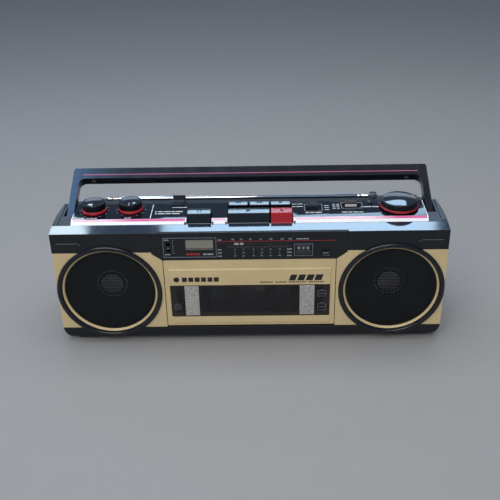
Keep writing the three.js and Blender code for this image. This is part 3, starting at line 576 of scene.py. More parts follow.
# ---------------- dial section
DIAL_INK = (DIAL_FACE - INK, DIAL_FACE)
CLOCK_FRAME = ((-95.3, -36.0), (113.2, 138.2))
COUNTER_FRAME = ((49.8, 70.5), (113.7, 129.1))
DISPLAY_FRAME = ((-71.4, -38.6), (121.4, 136.1))
TOP_SCALE = (("88", -17.8), ("90", -8.6), ("92", 1.8), ("96", 12.9), ("100", 23.9),
             ("104", 36.6), ("108", 45.0))
SCALE_SPOTS = (-15.6, -6.2, 4.9, 14.0, 23.4, 33.6)
SCALE_ROWS = (
    (122.4, ("6", "7", "8", "10", "12", "15")),
    (118.4, ("2", "2.5", "3", "3.5", "4", "5")),
    (114.3, ("53", "60", "70", "90", "110", "140")),
)
TYPE_SIZE = 1.4  # type size for a figure of unit height
COUNTER_AXIS = (10.2, 121.0)
COUNTER_RADIUS = 7.22
COUNTER_WHEELS = (55.3, 60.25, 65.2)


def bar_spans(x, widths, gap):
    """Limits in x of short bars in a row, standing in for a printed word."""
    spans = []
    for width in widths:
        spans.append((x, x + width))
        x += width + gap
    return spans


def dashes(x, z, widths, gap, height):
    return [(span, DIAL_INK, around(z, height / 2)) for span in bar_spans(x, widths, gap)]


def dial_prints():
    shape = bmesh.new()
    add_ring_frame(shape, *CLOCK_FRAME, 0.8, (-0.35, DIAL_FACE))
    add_ring_frame(shape, *COUNTER_FRAME, 0.7, (-0.35, DIAL_FACE))
    add_box(shape, (-84.6, -84.1), DIAL_INK, (118.3, 135.3))
    for z in (118.3, 126.6, 134.8):
        add_box(shape, (-84.1, -82.6), DIAL_INK, (z, z + 0.5))
    from_bmesh("dial_outlines", shape, "cabinet", GREY_INK_AND_HIGHLIGHTS, soft=0.1)
    red = [((-36.0, 96.5), DIAL_INK, (132.6, 133.2))]
    red += dashes(-69.8, 117.2, (3.4, 3.0, 3.2, 3.0), 0.8, 2.6)
    boxes("dial_red_marks", "cabinet", red, RED_INK)
    pale = dashes(-51.0, 117.0, (2.4, 1.6, 3.0, 2.0), 0.7, 1.8)
    pale += dashes(-93.6, 135.4, (2.6, 1.8), 0.6, 1.3)
    pale += dashes(-93.0, 117.0, (2.0, 2.4), 0.6, 1.3)
    pale += dashes(52.4, 135.2, (1.4,) * 7, 0.6, 1.4)
    pale += dashes(-34.2, 134.8, (2.0, 1.4), 0.5, 1.2)
    for z, _ in SCALE_ROWS:
        pale += dashes(-34.6, z, (1.6, 1.8), 0.6, 1.3)
        pale += dashes(42.2, z, (1.4, 1.4, 1.0), 0.5, 1.5)
    pale += [((x, x + 0.35), DIAL_INK, (125.2, 126.0)) for x in range(-22, 46, 3)]
    boxes("dial_pale_marks", "cabinet", pale, PALE_INK)
    dial_numbers()
    rim = bmesh.new()
    add_ring_frame(rim, *DISPLAY_FRAME, 0.8, (-0.3, 0.4))
    from_bmesh("clock_window_rim", rim, "cabinet", BLACK_INK, soft=0.1)
    divider = [((-70.0, -39.9), (0.55, 0.7), (123.8, 124.4))]
    boxes("display_divider", "cabinet", divider, BLACK_INK)


def dial_numbers():
    shape = bmesh.new()
    figures = [(text, x, 135.2, 2.0) for text, x in TOP_SCALE]
    figures += [(text, x, z, 1.9) for z, row in SCALE_ROWS for text, x in zip(row, SCALE_SPOTS)]
    upright = Matrix.Rotation(math.pi / 2, 4, "X")
    for text, x, z, height in figures:
        place = Matrix.Translation(at(x, middle_of(DIAL_INK), z)) @ upright
        add_figure(shape, text, height * MM * TYPE_SIZE, place)
    from_bmesh("dial_numbers", shape, "cabinet", PALE_INK)


def counter_digits():
    """Figures round each of the three number wheels, and the mask in front of them."""
    shape = bmesh.new()
    out = Matrix.Translation((0, 0, COUNTER_RADIUS * MM))
    for wheel, x in enumerate(COUNTER_WHEELS):
        for digit in range(10):
            turn = Matrix.Rotation(math.radians(78 + 36 * (digit - wheel * 3)), 4, "X")
            place = Matrix.Translation(at(x, *COUNTER_AXIS)) @ turn @ out
            add_figure(shape, str(digit), 4.6 * MM, place)
    from_bmesh("counter_figures", shape, "counter", WHITE_INK_AND_HIGHLIGHT)
    mask = [((51.6, 68.9), (0.9, 1.4), z) for z in ((115.1, 120.0), (125.2, 127.9))]
    boxes("counter_mask", "cabinet", mask, SMOKE_GREY, soft=0.2)


def ridged(front, z, grooves, back):
    """Side view of a small button. Its front goes in and out by turns at the `grooves`."""
    steps = [(front + (0.4 if i % 2 else 0.0), height) for i, height in enumerate(grooves)]
    return [(front, z[0]), *steps, (front, z[1]), (back, z[1]), (back, z[0])]


def is_display(middle, normal):
    return middle.y < 3.4 and normal.y < -0.9


def dial_section():
    dial_prints()
    dress("dial_window", SLOT_GLASS, 0.1)
    dress("clock_module", SATIN, 0.1, [(LCD, is_display)])
    marks = [((-16.4, -11.2), (1.45, 3.9), (127.5, 130.6), 0),
             ((-9.9, -6.2), (1.45, 3.9), (127.5, 130.6), 0),
             ((-17.5, -6.5), (3.4, 4.1), (127.4, 130.6), 1),
             ((-15, -11.5), (3.9, 9), (129.4, 133.4), 1)]
    piece = boxes("pointer_marks", "pointer", marks, WHITE, SATIN, soft=0.15)
    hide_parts("dial_pointer")
    dress("counter_wheels", WHEEL_GREY, 0.15)
    counter_digits()
    reset = ridged(-1.8, (114.6, 120.0), (115.0, 115.6, 117.2, 117.9, 118.6, 119.3), 6)
    piece = prism("reset_button", "counter_reset", reset, (80.6, 90.0), "x", SHEEN, soft=0.15)
    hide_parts("counter_reset_button")
    # Grey streaks across the reset button's front are painted glints.
    glints = [((81.6, 87.4), (-1.9, -1.7), (117.4, 118.8)),
              ((81.6, 89.4), (-1.9, -1.7), (114.8, 115.2))]
    boxes("reset_button_glints", "counter_reset", glints, GREY_INK_AND_HIGHLIGHTS, soft=0.05)
    timer = ridged(-1.2, (123.8, 127.8), (124.8, 125.3, 125.8, 126.3, 126.8), 4.5)
    piece = prism("timer_knob", "timer", timer, (-91.0, -87.6), "x", SHEEN, soft=0.15)
    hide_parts("timer_switch_knob")
    profile = [(AXIS_RADIUS, -0.45), (0.7, -0.5), (1.15, -0.7), (1.4, -0.45), (1.4, 5),
               (AXIS_RADIUS, 5)]
    for word, z in (("hour", 133.2), ("minute", 121)):
        piece = lathe(f"{word}_button", f"clock_{word}", profile, (-75, 0, z), "y", SHEEN,
                      segments=32)
        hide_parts(f"clock_{word}_button")


# ---------------- cassette door
def door_prints():
    y = (DOOR_FACE - INK, DOOR_FACE)
    marks = [((x, x + 5.6), y, (81.8, 87.6)) for x in (-76.6, -69.4, -62.2, -55.0, -47.8, -40.6)]
    boxes("door_emblem_bars", "door", marks, BLACK_INK)
    disc = [(AXIS_RADIUS, y[0]), (3.3, y[0]), (3.3, y[1]), (AXIS_RADIUS, y[1])]
    lathe("door_emblem_disc", "door", disc, (-83.0, 0, 84.7), "y", BLACK_INK, segments=48)
    shape = bmesh.new()
    for x, width in ((44.0, 7.2), (53.4, 7.6), (63.0, 7.8), (72.6, 8.0)):
        slanted = [(x, 82.4), (x + width, 82.4), (x + width + 2.6, 90.0), (x + 2.6, 90.0)]
        add_prism(shape, slanted, y, "y")
    word_gaps = (6, 12, 21)
    for i in range(29):
        x = 11.6 + 2.5 * i
        if i not in word_gaps:
            add_box(shape, (x, x + 1.7), y, (79.6, 81.3))
    from_bmesh("door_line_marks", shape, "door", BLACK_INK)


def window_details():
    y = (WINDOW_FACE - 0.12, WINDOW_FACE)
    bars = [(x, y, (36.2, 76.2)) for x in ((-74.5, -58.4), (56.5, 73.2))]
    boxes("window_silver_bars", "door", bars, SILVER, soft=0.05)
    shape = bmesh.new()
    ink = (WINDOW_FACE - INK, WINDOW_FACE)
    icons = ((-83.4, 47.6, 3.6, 3.2), (81.8, 64.6, 4.8, 3.8), (81.8, 46.2, 4.6, 4.4))
    for x, z, half, height in icons:
        add_ring_frame(shape, around(x, half), around(z, height), 0.45, ink)
        add_box(shape, (x - half + 1.4, x + half - 1.4), ink, around(z, 0.3))
        add_box(shape, around(x, 1.8), ink, (z + height + 0.9, z + height + 1.6))
    from_bmesh("window_icons", shape, "door", GREY_INK_AND_HIGHLIGHTS)


def cassette_door():
    dress("cassette_door", CREAM, 0.45)
    dress("door_window", SMOKED, 0.15)
    dress("cassette_holder", SATIN, 0.3)
    door_prints()
    window_details()
    spring = [(17, 76.4), (16.6, 67.6), (14.5, 67.2), (-13, 73.0), (-14, 74.2), (-13, 76.4)]
    prism("cassette_spring", "door", spring, (1.05, 1.4), "y", ROSE)


# ---------------- deck and inside
STEEL_PARTS = ("capstan_flywheel", "deck_motor", "head_plate", "key_guide_plate",
               "power_transformer")


def is_board(middle, normal):
    return middle.y < 65.7


def deck():
    dress("deck_chassis", STEEL, 0.15)
    for node in ("supply_spindle", "takeup_spindle"):
        dress(node, SPINDLE, 0.1, smooth=40)
    for node in STEEL_PARTS:
        dress(node, STEEL, 0.15, smooth=40)
    dress("motor_pulley", BRASS, 0.1, smooth=40)
    dress("drive_belt", RUBBER, 0.1, smooth=40)
    dress("tape_head", CHROME, 0.2, smooth=40)
    dress("pinch_roller", RUBBER, 0.3, smooth=40)
    dress("main_circuit_board", SATIN, 0.15, [(BOARD, is_board)])


# ---------------- keys
KEY_TOP = 157.0
KEY_LOW = 139.0
FRONT_ROW = (22.4, 34.0)
REAR_ROW = (43.0, 55.0)
FRONT_REACH = 5.0
REAR_REACH = 0.4
KEYS = (
    ("pause", (-68.6, -42.6), FRONT_ROW, KEY_GLOSS),
    ("play", (-23.0, 23.0), FRONT_ROW, KEY_GLOSS),
    ("record", (24.7, 48.5), FRONT_ROW, RED),
    ("rewind", (-22.8, -1.5), REAR_ROW, KEY_GLOSS),
    ("fast_forward", (0.8, 22.8), REAR_ROW, KEY_GLOSS),
    ("stop_eject", (24.7, 46.6), REAR_ROW, KEY_GLOSS),
)


def key_outline(front, back, reach):
    """Side view of a key: a foot `reach` ahead of its top, a hollow front and a falling top."""
    foot = front - reach
    hollow = [(foot, 144.4), (foot + 0.36 * reach, 145.2), (foot + 0.62 * reach, 148.8),
              (foot + 0.8 * reach, 151.8), (foot + 0.92 * reach, 153.7), (foot + reach, 155.0)]
    crown = [(front + 0.4, KEY_TOP - 0.95), (front + 3.5, KEY_TOP - 0.6),
             (front + 7.0, KEY_TOP - 0.25), (back - 1.6, KEY_TOP), (back - 0.5, KEY_TOP - 0.2),
             (back, KEY_TOP - 0.8)]
    return [(foot, KEY_LOW), *hollow, *crown, (back, KEY_LOW)]


def arrow(x, y, top, way):
    """Three bars of falling depth that make an arrow head pointing `way` along x."""
    return [(mirrored(way, way * x + i, way * x + i + 1), around(y, 1.8 - 0.6 * i), top)
            for i in range(3)]


def key_marks(body, x, row):
    """The printed sign on top of a key."""
    middle, y = middle_of(x), middle_of(row)
    top = (KEY_TOP - 0.6, KEY_TOP - 0.12)
    square = [(around(middle, 1.8), around(y, 1.8), top)]
    signs = {
        "pause": [((middle - 2.0, middle - 0.9), around(y, 2), top),
                  ((middle + 0.9, middle + 2.0), around(y, 2), top)],
        "play": [((middle - 3.0 + i, middle - 2.0 + i), around(y, 2.2 - 0.4 * i), top)
                 for i in range(5)],
        "record": square,
        "stop_eject": square,
        "fast_forward": [*arrow(middle - 3, y, top, 1), *arrow(middle + 0.4, y, top, 1)],
        "rewind": [*arrow(middle + 3, y, top, -1), *arrow(middle - 0.4, y, top, -1)],
    }
    boxes(f"{body}_key_sign", body, signs[body], BLACK_INK)


def keys():
    for body, x, row, material in KEYS:
        outline = key_outline(*row, FRONT_REACH if row is FRONT_ROW else REAR_REACH)
        piece = prism(f"{body}_key_cap", body, outline, x, "x", material, soft=0.35)
        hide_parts(f"{body}_key")
        middle, depth = middle_of(x), middle_of(row)
        stem = [(around(middle, 2.5), around(depth, 2), (121, KEY_LOW + 1)),
                (around(middle, 1.9), around(depth, 2.3), (124, KEY_LOW + 1))]
        boxes(f"{body}_key_stem", body, stem, SATIN, soft=0.2)
        key_marks(body, x, row)
    nubs = [(around(x, 1.0), (17.0, 19.6), (145.4, 147.6)) for x in (-71.0, -40.2, -25.4, 51.0)]
    boxes("key_surround_nubs", "cabinet", nubs, SATIN, soft=0.3)


# ---------------- knobs and slides
PANEL_INK = (PANEL, PANEL + INK)
SHAFT_FOOT = 138
LAMP = (138, 56.2, 0)
SQUARENESS = 0.15  # 1 gives an oval rim, 0 a rectangular one


def knob_slots(profile, red, top):
    """Gloss on the top of a knob, red for the `red` rows and a duller side between them."""
    side = len(profile) - len(top)
    return [1 if i in red else 2 if i < side else 0 for i in range(len(profile))]


def small_knob(body, x, y):
    low = KNOB_FOOT
    skirt = [(14.0, low), (14.2, low + 0.3), (14.2, low + 1.9), (14.0, low + 2.2),
             (13.5, low + 2.5), (13.4, 154.0)]
    side = [(13.3, 154.1), (13.3, 156.5), (13.2, 159.9), (13.0, 160.7), (12.6, 161.1)]
    top = [(12.2, 161.05), (9.0, 161.5), (6.0, 161.85), (3.0, 162.05), (AXIS_RADIUS, 162.12)]
    shaft = [(AXIS_RADIUS, SHAFT_FOOT), (3, SHAFT_FOOT), (3, low)]
    profile = [*shaft, *skirt, *side, *top]
    slots = knob_slots(profile, range(len(shaft), len(shaft) + len(skirt)), top)
    piece = lathe(f"{body}_knob_body", body, profile, (x, y, 0), "z", GLOSS, RED, KNOB_SIDE,
                  slots=slots, closed=False, segments=144)
    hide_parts(f"{body}_knob")
    line = [(around(x, 0.35), (y - 12.0, y - 6.5), (161.0, 161.85))]
    boxes(f"{body}_knob_pointer", body, line, WHITE_INK_AND_HIGHLIGHT, soft=0.1)


def tuning_knob(x, y):
    low = KNOB_FOOT
    hub = [(20.0, low), (20.4, low + 0.2), (20.4, low + 1.1)]
    skirt = [(21.2, low + 1.3), (21.8, low + 1.8), (21.9, low + 2.4), (21.9, low + 3.4),
             (21.5, low + 4.0)]
    side = [(20.8, low + 4.3), (20.6, 157.5), (20.4, 159.4), (20.1, 160.0), (19.5, 160.4)]
    top = [(18.7, 160.6), (14.5, 161.3), (10.0, 161.95), (5.0, 162.4), (AXIS_RADIUS, 162.6)]
    foot = [(AXIS_RADIUS, SHAFT_FOOT), (4, SHAFT_FOOT), (4, low), *hub]
    profile = [*foot, *skirt, *side, *top]
    slots = knob_slots(profile, range(len(foot), len(foot) + len(skirt) - 1), top)
    piece = lathe("tuning_knob_body", "tuning", profile, (x, y, 0), "z", GLOSS, RED, KNOB_SIDE,
                  slots=slots, closed=False, segments=144)
    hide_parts("tuning_knob")


def slide_switch(body, x, y, material):
    """A ribbed slider on a stem."""
    low, high = 148.9, 155.6
    ribs = [(y[0], low), (y[0] + 0.6, high - 1.0), (y[0] + 1.6, high - 0.1)]
    step = (y[1] - y[0] - 3.2) / 6
    for i in range(6):
        start = y[0] + 1.6 + i * step
        ribs += [(start + step * 0.3, high), (start + step * 0.7, high - 0.5)]
    ribs += [(y[1] - 1.6, high - 0.1), (y[1] - 0.6, high - 1.0), (y[1], low)]
    piece = prism(f"{body}_slider", body, ribs, x, "x", material, soft=0.2)
    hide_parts("function_switch_knob" if body == "function" else "band_selector_knob")
    middle, depth = middle_of(x), middle_of(y)
    stem = [(around(middle, 2), around(depth, 1.5), (141, low + 0.5)),
            (around(middle, 1.4), around(depth, 1.9), (143, low + 0.5))]
    boxes(f"{body}_slider_stem", body, stem, SATIN, soft=0.2)


def top_label(x, y, widths, gap, depth):
    return [(span, around(y, depth / 2), PANEL_INK) for span in bar_spans(x, widths, gap)]


LABELS = (  # x, y, widths of the bars, gap and depth
    (-106.8, 40.6, (2.2, 6.0, 7.4, 4.0, 8.0), 1.0, 1.9),
    (-106.2, 35.6, (2.2, 8.0, 6.0, 9.0), 1.0, 1.9),
    (-88.0, 51.0, (2.0, 9.0, 4.0), 0.8, 1.2),
    (-182.6, 26.0, (3.0, 4.4, 3.2), 0.8, 1.4),
    (-139.8, 26.0, (3.0, 3.4), 0.8, 1.4),
    (49.0, 56.0, (5.0, 6.4), 0.8, 1.2),
    (48.4, 49.6, (4.6, 7.4), 0.8, 1.2),
    (63.6, 33.8, (4.0, 5.6, 6.6), 0.9, 1.6),
    (104.6, 34.0, (6.4, 4.2, 5.6, 4.6), 1.0, 1.6),
    (127.3, 47.0, (2.0, 8.6, 7.4), 0.9, 1.6),
)
KNOB_SCALES = ((VOLUME, 16.6), (TONE, 16.6), (TUNING, 24.6))


def panel_prints():
    marks = [bar for label in LABELS for bar in top_label(*label)]
    marks += [((85.6, 91.0), (y, y + 1.1), PANEL_INK) for y in (40.4, 45.4, 50.4)]
    marks += [((x, x + 3.2), (y, y + 1.0), PANEL_INK)
              for x in (95.0, 99.6) for y in (43.0, 46.6, 50.2, 53.8)]
    boxes("panel_labels", "cabinet", marks, WHITE_INK_AND_HIGHLIGHT)
    # The bright line at x 198.5 runs along the panel's right end, where it meets the end cap: a
    # painted highlight.
    lines = [((-110.9, -110.1), (24.6, 58.8), (PANEL, PANEL + 0.1)),
             ((198.1, 198.9), (38.0, 60.0), (PANEL - 0.1, PANEL + 0.35))]
    boxes("panel_bright_lines", "cabinet", lines, STRIP_AND_HIGHLIGHTS, soft=0.1)
    # Bright bent lines at both ends of the panel, over the riser and where the panel meets the end
    # caps, are painted highlights.
    bent = [(16.9, 146.0), (23.4, 149.9), (38.0, 149.9), (38.0, 150.3), (23.3, 150.3),
            (16.7, 146.3)]
    for word, side in SIDES.items():
        limits = mirrored(side, 198.3, 198.95)
        prism(f"panel_end_highlight_{word}", "cabinet", bent, limits, "x", STRIP_AND_HIGHLIGHTS, soft=0.08)
    shape = bmesh.new()
    for (x, y), radius in KNOB_SCALES:
        for i in range(11):
            angle = math.radians(-60 + 30 * i)
            spot = (x + radius * math.cos(angle), y + radius * math.sin(angle))
            if spot[1] < 59.0 and spot[0] < 197.0:
                add_box(shape, around(spot[0], 0.35), around(spot[1], 0.35), PANEL_INK)
    from_bmesh("knob_scale_dots", shape, "cabinet", WHITE_INK_AND_HIGHLIGHT)


def riser_strip():
    """The bright sloping front of the control panel, with a pink band along it."""
    spans = ((-197.2, -71.0), (-41.0, -25.0), (51.0, 197.8))
    slope = ((16.9, 146.06), (23.2, 149.88))
    line = ((20.5, 148.24), (23.2, 149.88))
    shape = bmesh.new()
    for slot, (foot, head), lift in ((0, slope, 0.12), (1, line, 0.2)):
        rise = Vector((0, head[0] - foot[0], head[1] - foot[1])).normalized()
        out = Vector((0, -rise.z, rise.y)) * lift * MM
        for left, right in spans:
            base = [at(left, *foot), at(right, *foot), at(right, *head), at(left, *head)]
            low = [shape.verts.new(p) for p in base]
            high = [shape.verts.new(p + out) for p in base]
            shape.faces.new(high).material_index = slot
            add_band(shape, low, high, slot)
            shape.faces.new(low).material_index = slot
    from_bmesh("panel_riser_strip", shape, "cabinet", STRIP_AND_HIGHLIGHTS, PINK_BAND)


def slot_rim(name, x, y):
    """A raised rim with slightly rounded corners round the well of a slider."""
    half = ((x[1] - x[0]) / 2, (y[1] - y[0]) / 2)
    section = ((0.0, PANEL - 0.6), (0.0, PANEL + 0.35), (0.9, PANEL + 0.35), (0.9, PANEL - 0.05))
    shape = bmesh.new()
    rings = []
    for grow, z in section:
        ring = []
        for i in range(64):
            angle = 2 * math.pi * i / 64
            u, v = (math.copysign(abs(turn) ** SQUARENESS, turn) * (size + grow)
                    for turn, size in zip((math.cos(angle), math.sin(angle)), half))
            ring.append(shape.verts.new(at(middle_of(x) + u, middle_of(y) + v, z)))
        rings.append(ring)
    for one, two in zip(rings, rings[1:] + rings[:1]):
        add_band(shape, one, two)
    from_bmesh(name, shape, "cabinet", GREY_INK_AND_HIGHLIGHTS)


def controls():
    small_knob("volume", *VOLUME)
    small_knob("tone", *TONE)
    tuning_knob(*TUNING)
    slide_switch("function", (65, 79), (40, 52), SHEEN)
    slide_switch("band", (108.5, 122.5), (45.5, 55), AMBER)
    # The white line along the band slider's front lower edge is a painted highlight.
    line = [((109.0, 122.0), (45.2, 45.9), (151.2, 153.6))]
    boxes("band_slider_highlight", "band", line, WHITE_INK_AND_HIGHLIGHT, soft=0.1)
    slot_rim("function_slot_rim", (63.5, 82.5), (37.5, 54.5))
    slot_rim("band_slot_rim", (105.5, 128.5), (43.5, 57))
    lamp = [(3.4, PANEL), (3.4, PANEL + 0.7), *arc(0, PANEL + 0.7, 2.7, 2.2, 0, 88, 8),
            (AXIS_RADIUS, PANEL + 2.9), (AXIS_RADIUS, PANEL)]
    lathe("stereo_lamp", "cabinet", lamp, LAMP, "z", GLOSS, segments=40)
    panel_prints()
    riser_strip()


# ---------------- antenna
ANTENNA_PIVOT = 146.0
ROD_END = -150.0  # left end of the outer tube


def antenna():
    dress("antenna_base", SLATE_GREY, 0.3, smooth=40)
    ear = [((-90.6, -76.0), (83.7, 85.4), (144.0, 149.3)),
           ((-90.6, -76.0), (82.6, 84.2), (144.4, 146.8))]
    boxes("antenna_clip_ear", "cabinet", ear, SATIN, soft=0.4)
    y, z = ROD
    pivot, left = ANTENNA_PIVOT, ROD_END
    start = pivot - 5.5
    outer = [(2.6, left), (3.0, left), (3.1, left + 0.3), (3.1, start - 14), (2.7, start - 13.4),
             (2.7, start - 12.4), (3.1, start - 11.8), (3.1, start - 9.8), (2.7, start - 9.2),
             (2.7, start - 8.2), (3.1, start - 7.6), (3.1, start - 0.4), (2.8, start),
             (AXIS_RADIUS, start), (AXIS_RADIUS, 128), (2.6, 128)]
    lathe_rod("antenna_rod_outer", "antenna_outer", outer, "antenna_outer_tube")
    tongue = [(start - 2, z - 2.4), (pivot, z - 2.4), *arc(pivot, z, 2.4, 2.4, 270, 450, 12),
              (start - 2, z + 2.4)]
    prism("antenna_rod_tongue", "antenna_outer", tongue, around(y, 1.5), "y", CHROME, soft=0.2)
    middle = [(1.75, left - 6), (2.0, left - 6), (2.25, left - 5.7), (2.25, 121.7), (2.0, 122),
              (AXIS_RADIUS, 122), (AXIS_RADIUS, 112), (1.75, 112)]
    lathe_rod("antenna_rod_middle", "antenna_middle", middle, "antenna_middle_tube")
    tip = [(AXIS_RADIUS, left - 20), (1.6, left - 20), (2.3, left - 19.6), (2.6, left - 18.8),
           (2.6, left - 17.2), (2.1, left - 16.9), (2.1, left - 16.3), (2.6, left - 16),
           (2.6, left - 14.4), (2.2, left - 13.4), (1.4, left - 13), (1.4, 106),
           (AXIS_RADIUS, 106)]
    lathe_rod("antenna_rod_tip", "antenna_end", tip, "antenna_tip")
    for i in range(2):
        far, near = left - 1.6 - 2.4 * i, left - 0.6 - 2.4 * i
        ring = [(2.3, far), (3.0, far), (3.0, near), (2.3, near)]
        lathe(f"antenna_ring_{i + 1}", "antenna_middle", ring, (0, y, z), "x", CHROME,
              segments=32)


def lathe_rod(name, body, profile, node):
    piece = lathe(name, body, profile, (0, *ROD), "x", CHROME, segments=32)
    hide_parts(node)


# ---------------- handle
SCREW_DISCS = ((3.4, 0.25, 0), (2.2, 0.4, 1))  # radius, height and material's number


def lean(shape):
    """Leans back about the pivot what was drawn with the handle upright."""
    turn = Matrix.Translation(at(0, *PIVOT)) @ Matrix.Rotation(-HANDLE_LEAN, 4, "X")
    bmesh.ops.transform(shape, matrix=turn @ Matrix.Translation(-at(0, 0, 0)), verts=shape.verts)


def handle():
    dress("handle_frame", SHEEN, 0.9, smooth=40)
    shape = bmesh.new()
    add_box(shape, (-199.0, 199.0), around(-HANDLE_HALF, 0.1), (65.9, 67.3))
    lean(shape)
    from_bmesh("handle_stripe", shape, "handle", PINK_LINE)
    shape = bmesh.new()
    for side in SIDES.values():
        add_box(shape, mirrored(side, 199.5, 200.2), around(0, HANDLE_HALF + 0.12),
                (HANDLE_LENGTH - 15.2, HANDLE_LENGTH + 0.12))
    lean(shape)
    from_bmesh("handle_grip_joints", shape, "handle", SATIN)
    for word, side in SIDES.items():
        shape = bmesh.new()
        spot = at(side * 186.0, 0, HANDLE_LENGTH - 15.8)
        for radius, height, slot in SCREW_DISCS:
            made = bmesh.ops.create_cone(shape, cap_ends=True, segments=24, depth=height * MM,
                                         radius1=radius * MM, radius2=radius * MM)
            bmesh.ops.translate(shape, verts=made["verts"], vec=spot)
            for face in {f for v in made["verts"] for f in v.link_faces}:
                face.material_index = slot
        lean(shape)
        from_bmesh(f"handle_screw_{word}", shape, "handle", SATIN, STEEL)


# ---------------- back and underside
BACK_SCREWS = ((-200, 20), (200, 20), (-150, 124), (150, 124), (-150, 60), (150, 60))
BOTTOM_SCREWS = ((-150, 70), (150, 70), (0, 70))


def screw(name, centre, axis, seat, out):
    """A sunk screw on the height `seat`, facing `out` along the axis: a dark rim and a head."""
    rim = [(3.6, seat), (3.6, seat + out * 0.25), (2.6, seat + out * 0.25), (2.6, seat)]
    head = [(AXIS_RADIUS, seat), (2.4, seat), (2.2, seat + out * 0.18),
            (AXIS_RADIUS, seat + out * 0.3)]
    lathe(f"{name}_rim", "cabinet", rim, centre, axis, SATIN, segments=32)
    lathe(f"{name}_head", "cabinet", head, centre, axis, STEEL, segments=32)


def back_details():
    ribs = [((x, x + 1.4), (BACK - 0.1, BACK + 0.7), (88.5, 118.0)) for x in range(-118, 119, 6)]
    boxes("back_vent_ribs", "cabinet", ribs, SATIN, soft=0.25)
    grip = [((-96, 96), (BACK - 0.1, BACK + 0.5), (20 + 4 * i, 21.6 + 4 * i)) for i in range(3)]
    grip += [(around(x, 12), (BACK - 0.1, BACK + 0.8), (z, z + 1.2))
             for x in (-70, 70) for z in (72, 75, 78)]
    boxes("battery_cover_ribs", "battery_lid", grip, SATIN, soft=0.25)
    for i, (x, z) in enumerate(BACK_SCREWS):
        screw(f"back_screw_{i + 1}", (x, 0, z), "y", BACK, 1)


def is_inlet_pin(middle, normal):
    across = abs(middle.x + 170)
    return abs(middle.z - 31) < 1.25 and 90.6 < middle.y < 99.5 and 2.2 < across < 4.8


def back():
    dress("battery_cover", SATIN, 0.5)
    dress("ac_inlet", SATIN, 0.3, [(BRASS, is_inlet_pin)])
    back_details()
    for i, (x, y) in enumerate(BOTTOM_SCREWS):
        screw(f"bottom_screw_{i + 1}", (x, y, 0), "z", UNDERSIDE, -1)


# ---------------- stage, lights and camera
WARM = (1.0, 0.94, 0.87)
SKY = (0.52, 0.76, 1.0)
COOL = (0.75, 0.87, 1.0)
WORLD_COLOR = (0.44, 0.60, 0.82, 1.0)
WORLD_STRENGTH = 0.33

# Name, place, target, size, power, colour, and whether the soft box lights matt surfaces and
# whether glossy ones mirror it.
LIGHTS = (
    ("key", (-0.4, -1.5, 1.85), (0, 0, 0.08), (1.6, 1.2), 26, WARM, True, True),
    ("front_fill", (0.0, -1.7, 0.5), (0, 0, 0.08), (1.2, 0.5), 5, (1.0, 0.94, 0.86), True, False),
    ("overhead", (0.05, 0.12, 1.2), (0.05, 0.1, 0), (1.2, 0.8), 9.5, (0.98, 0.97, 0.97),
     True, False),
    ("left_fill", (-2.0, 0.2, 0.9), (0, 0, 0.1), (0.9, 0.9), 10, COOL, True, True),
    ("sky_right", (0.109, 0.95, 1.05), (0.109, 0.0, 0.15), (0.757, 0.30), 5.3, SKY, False, True),
    ("sky_left", (-0.54, 0.95, 1.05), (-0.54, 0.0, 0.15), (0.12, 0.30), 0.9, (0.72, 0.9, 1.0),
     False, True),
    ("haze", (0.0, 0.95, 0.42), (0.0, 0.0, 0.15), (2.4, 0.26), 2.4, (0.66, 0.82, 1.0),
     False, True),
    ("glow_left", (-0.4, 0.62, 1.45), (-0.4, 0.0, 0.15), (0.6, 0.25), 1.3, COOL, False, True),
    ("glow_right", (0.35, 0.62, 1.45), (0.35, 0.0, 0.15), (0.9, 0.25), 0.6, (1.0, 0.82, 0.76),
     False, True),
    ("blue_left", (-0.81, 0.27, 1.5), (-0.81, 0.27, 0.0), (0.6, 0.6), 9, (0.25, 0.52, 1.0),
     False, True),
)

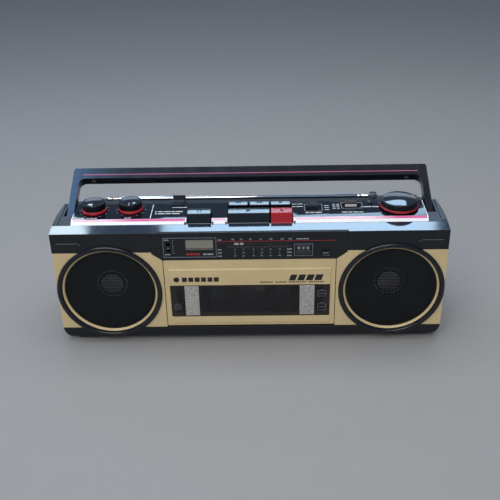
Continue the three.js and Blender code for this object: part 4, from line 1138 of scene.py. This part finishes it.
LENS = 58.25
CAMERA = (19.2, -778.6, 563.3)
CAMERA_RIGHT = (0.99973, 0.01196, -0.0201)
CAMERA_UP = (0.01158, 0.49346, 0.86969)
CAMERA_BACK = (0.0203, -0.8697, 0.4932)


def stage():
    shape = bmesh.new()
    bmesh.ops.create_grid(shape, x_segments=8, y_segments=8, size=9.0)
    mesh = plain_mesh("floor", shape)
    floor = bpy.data.objects.new("floor", mesh)
    bpy.context.scene.collection.objects.link(floor)
    paint = surface("floor_paint", (0.285, 0.285, 0.285), 0.8, mottle=0.01, uneven=0.05)
    mesh.materials.append(paint)


def area_light(name, place, target, size, power, color, diffuse, glossy):
    data = bpy.data.lights.new(name, "AREA")
    data.shape = "RECTANGLE"
    data.size, data.size_y = size
    data.energy = power
    data.color = color
    lamp = bpy.data.objects.new(name, data)
    lamp.location = place
    lamp.rotation_euler = (Vector(target) - Vector(place)).to_track_quat("-Z", "Y").to_euler()
    lamp.visible_camera = False
    lamp.visible_diffuse = diffuse
    lamp.visible_glossy = glossy
    bpy.context.scene.collection.objects.link(lamp)


def lights():
    world = bpy.data.worlds.new("studio")
    bpy.context.scene.world = world
    world.use_nodes = True
    background = world.node_tree.nodes["Background"]
    background.inputs["Color"].default_value = WORLD_COLOR
    background.inputs["Strength"].default_value = WORLD_STRENGTH
    for light in LIGHTS:
        area_light(*light)


def camera():
    data = bpy.data.cameras.new("camera")
    data.lens = LENS
    data.clip_start = 0.01
    eye = bpy.data.objects.new("camera", data)
    turn = Matrix((CAMERA_RIGHT, CAMERA_UP, CAMERA_BACK)).transposed().to_4x4()
    eye.matrix_world = Matrix.Translation(at(*CAMERA)) @ turn
    bpy.context.scene.collection.objects.link(eye)
    bpy.context.scene.camera = eye
    bpy.context.scene.view_settings.view_transform = "Standard"


# ---------------- assembly
camera()
stage()
lights()
cabinet()
for side_word, side_sign in SIDES.items():
    speaker(side_word, side_sign)
dial_section()
cassette_door()
deck()
keys()
controls()
antenna()
handle()
back()
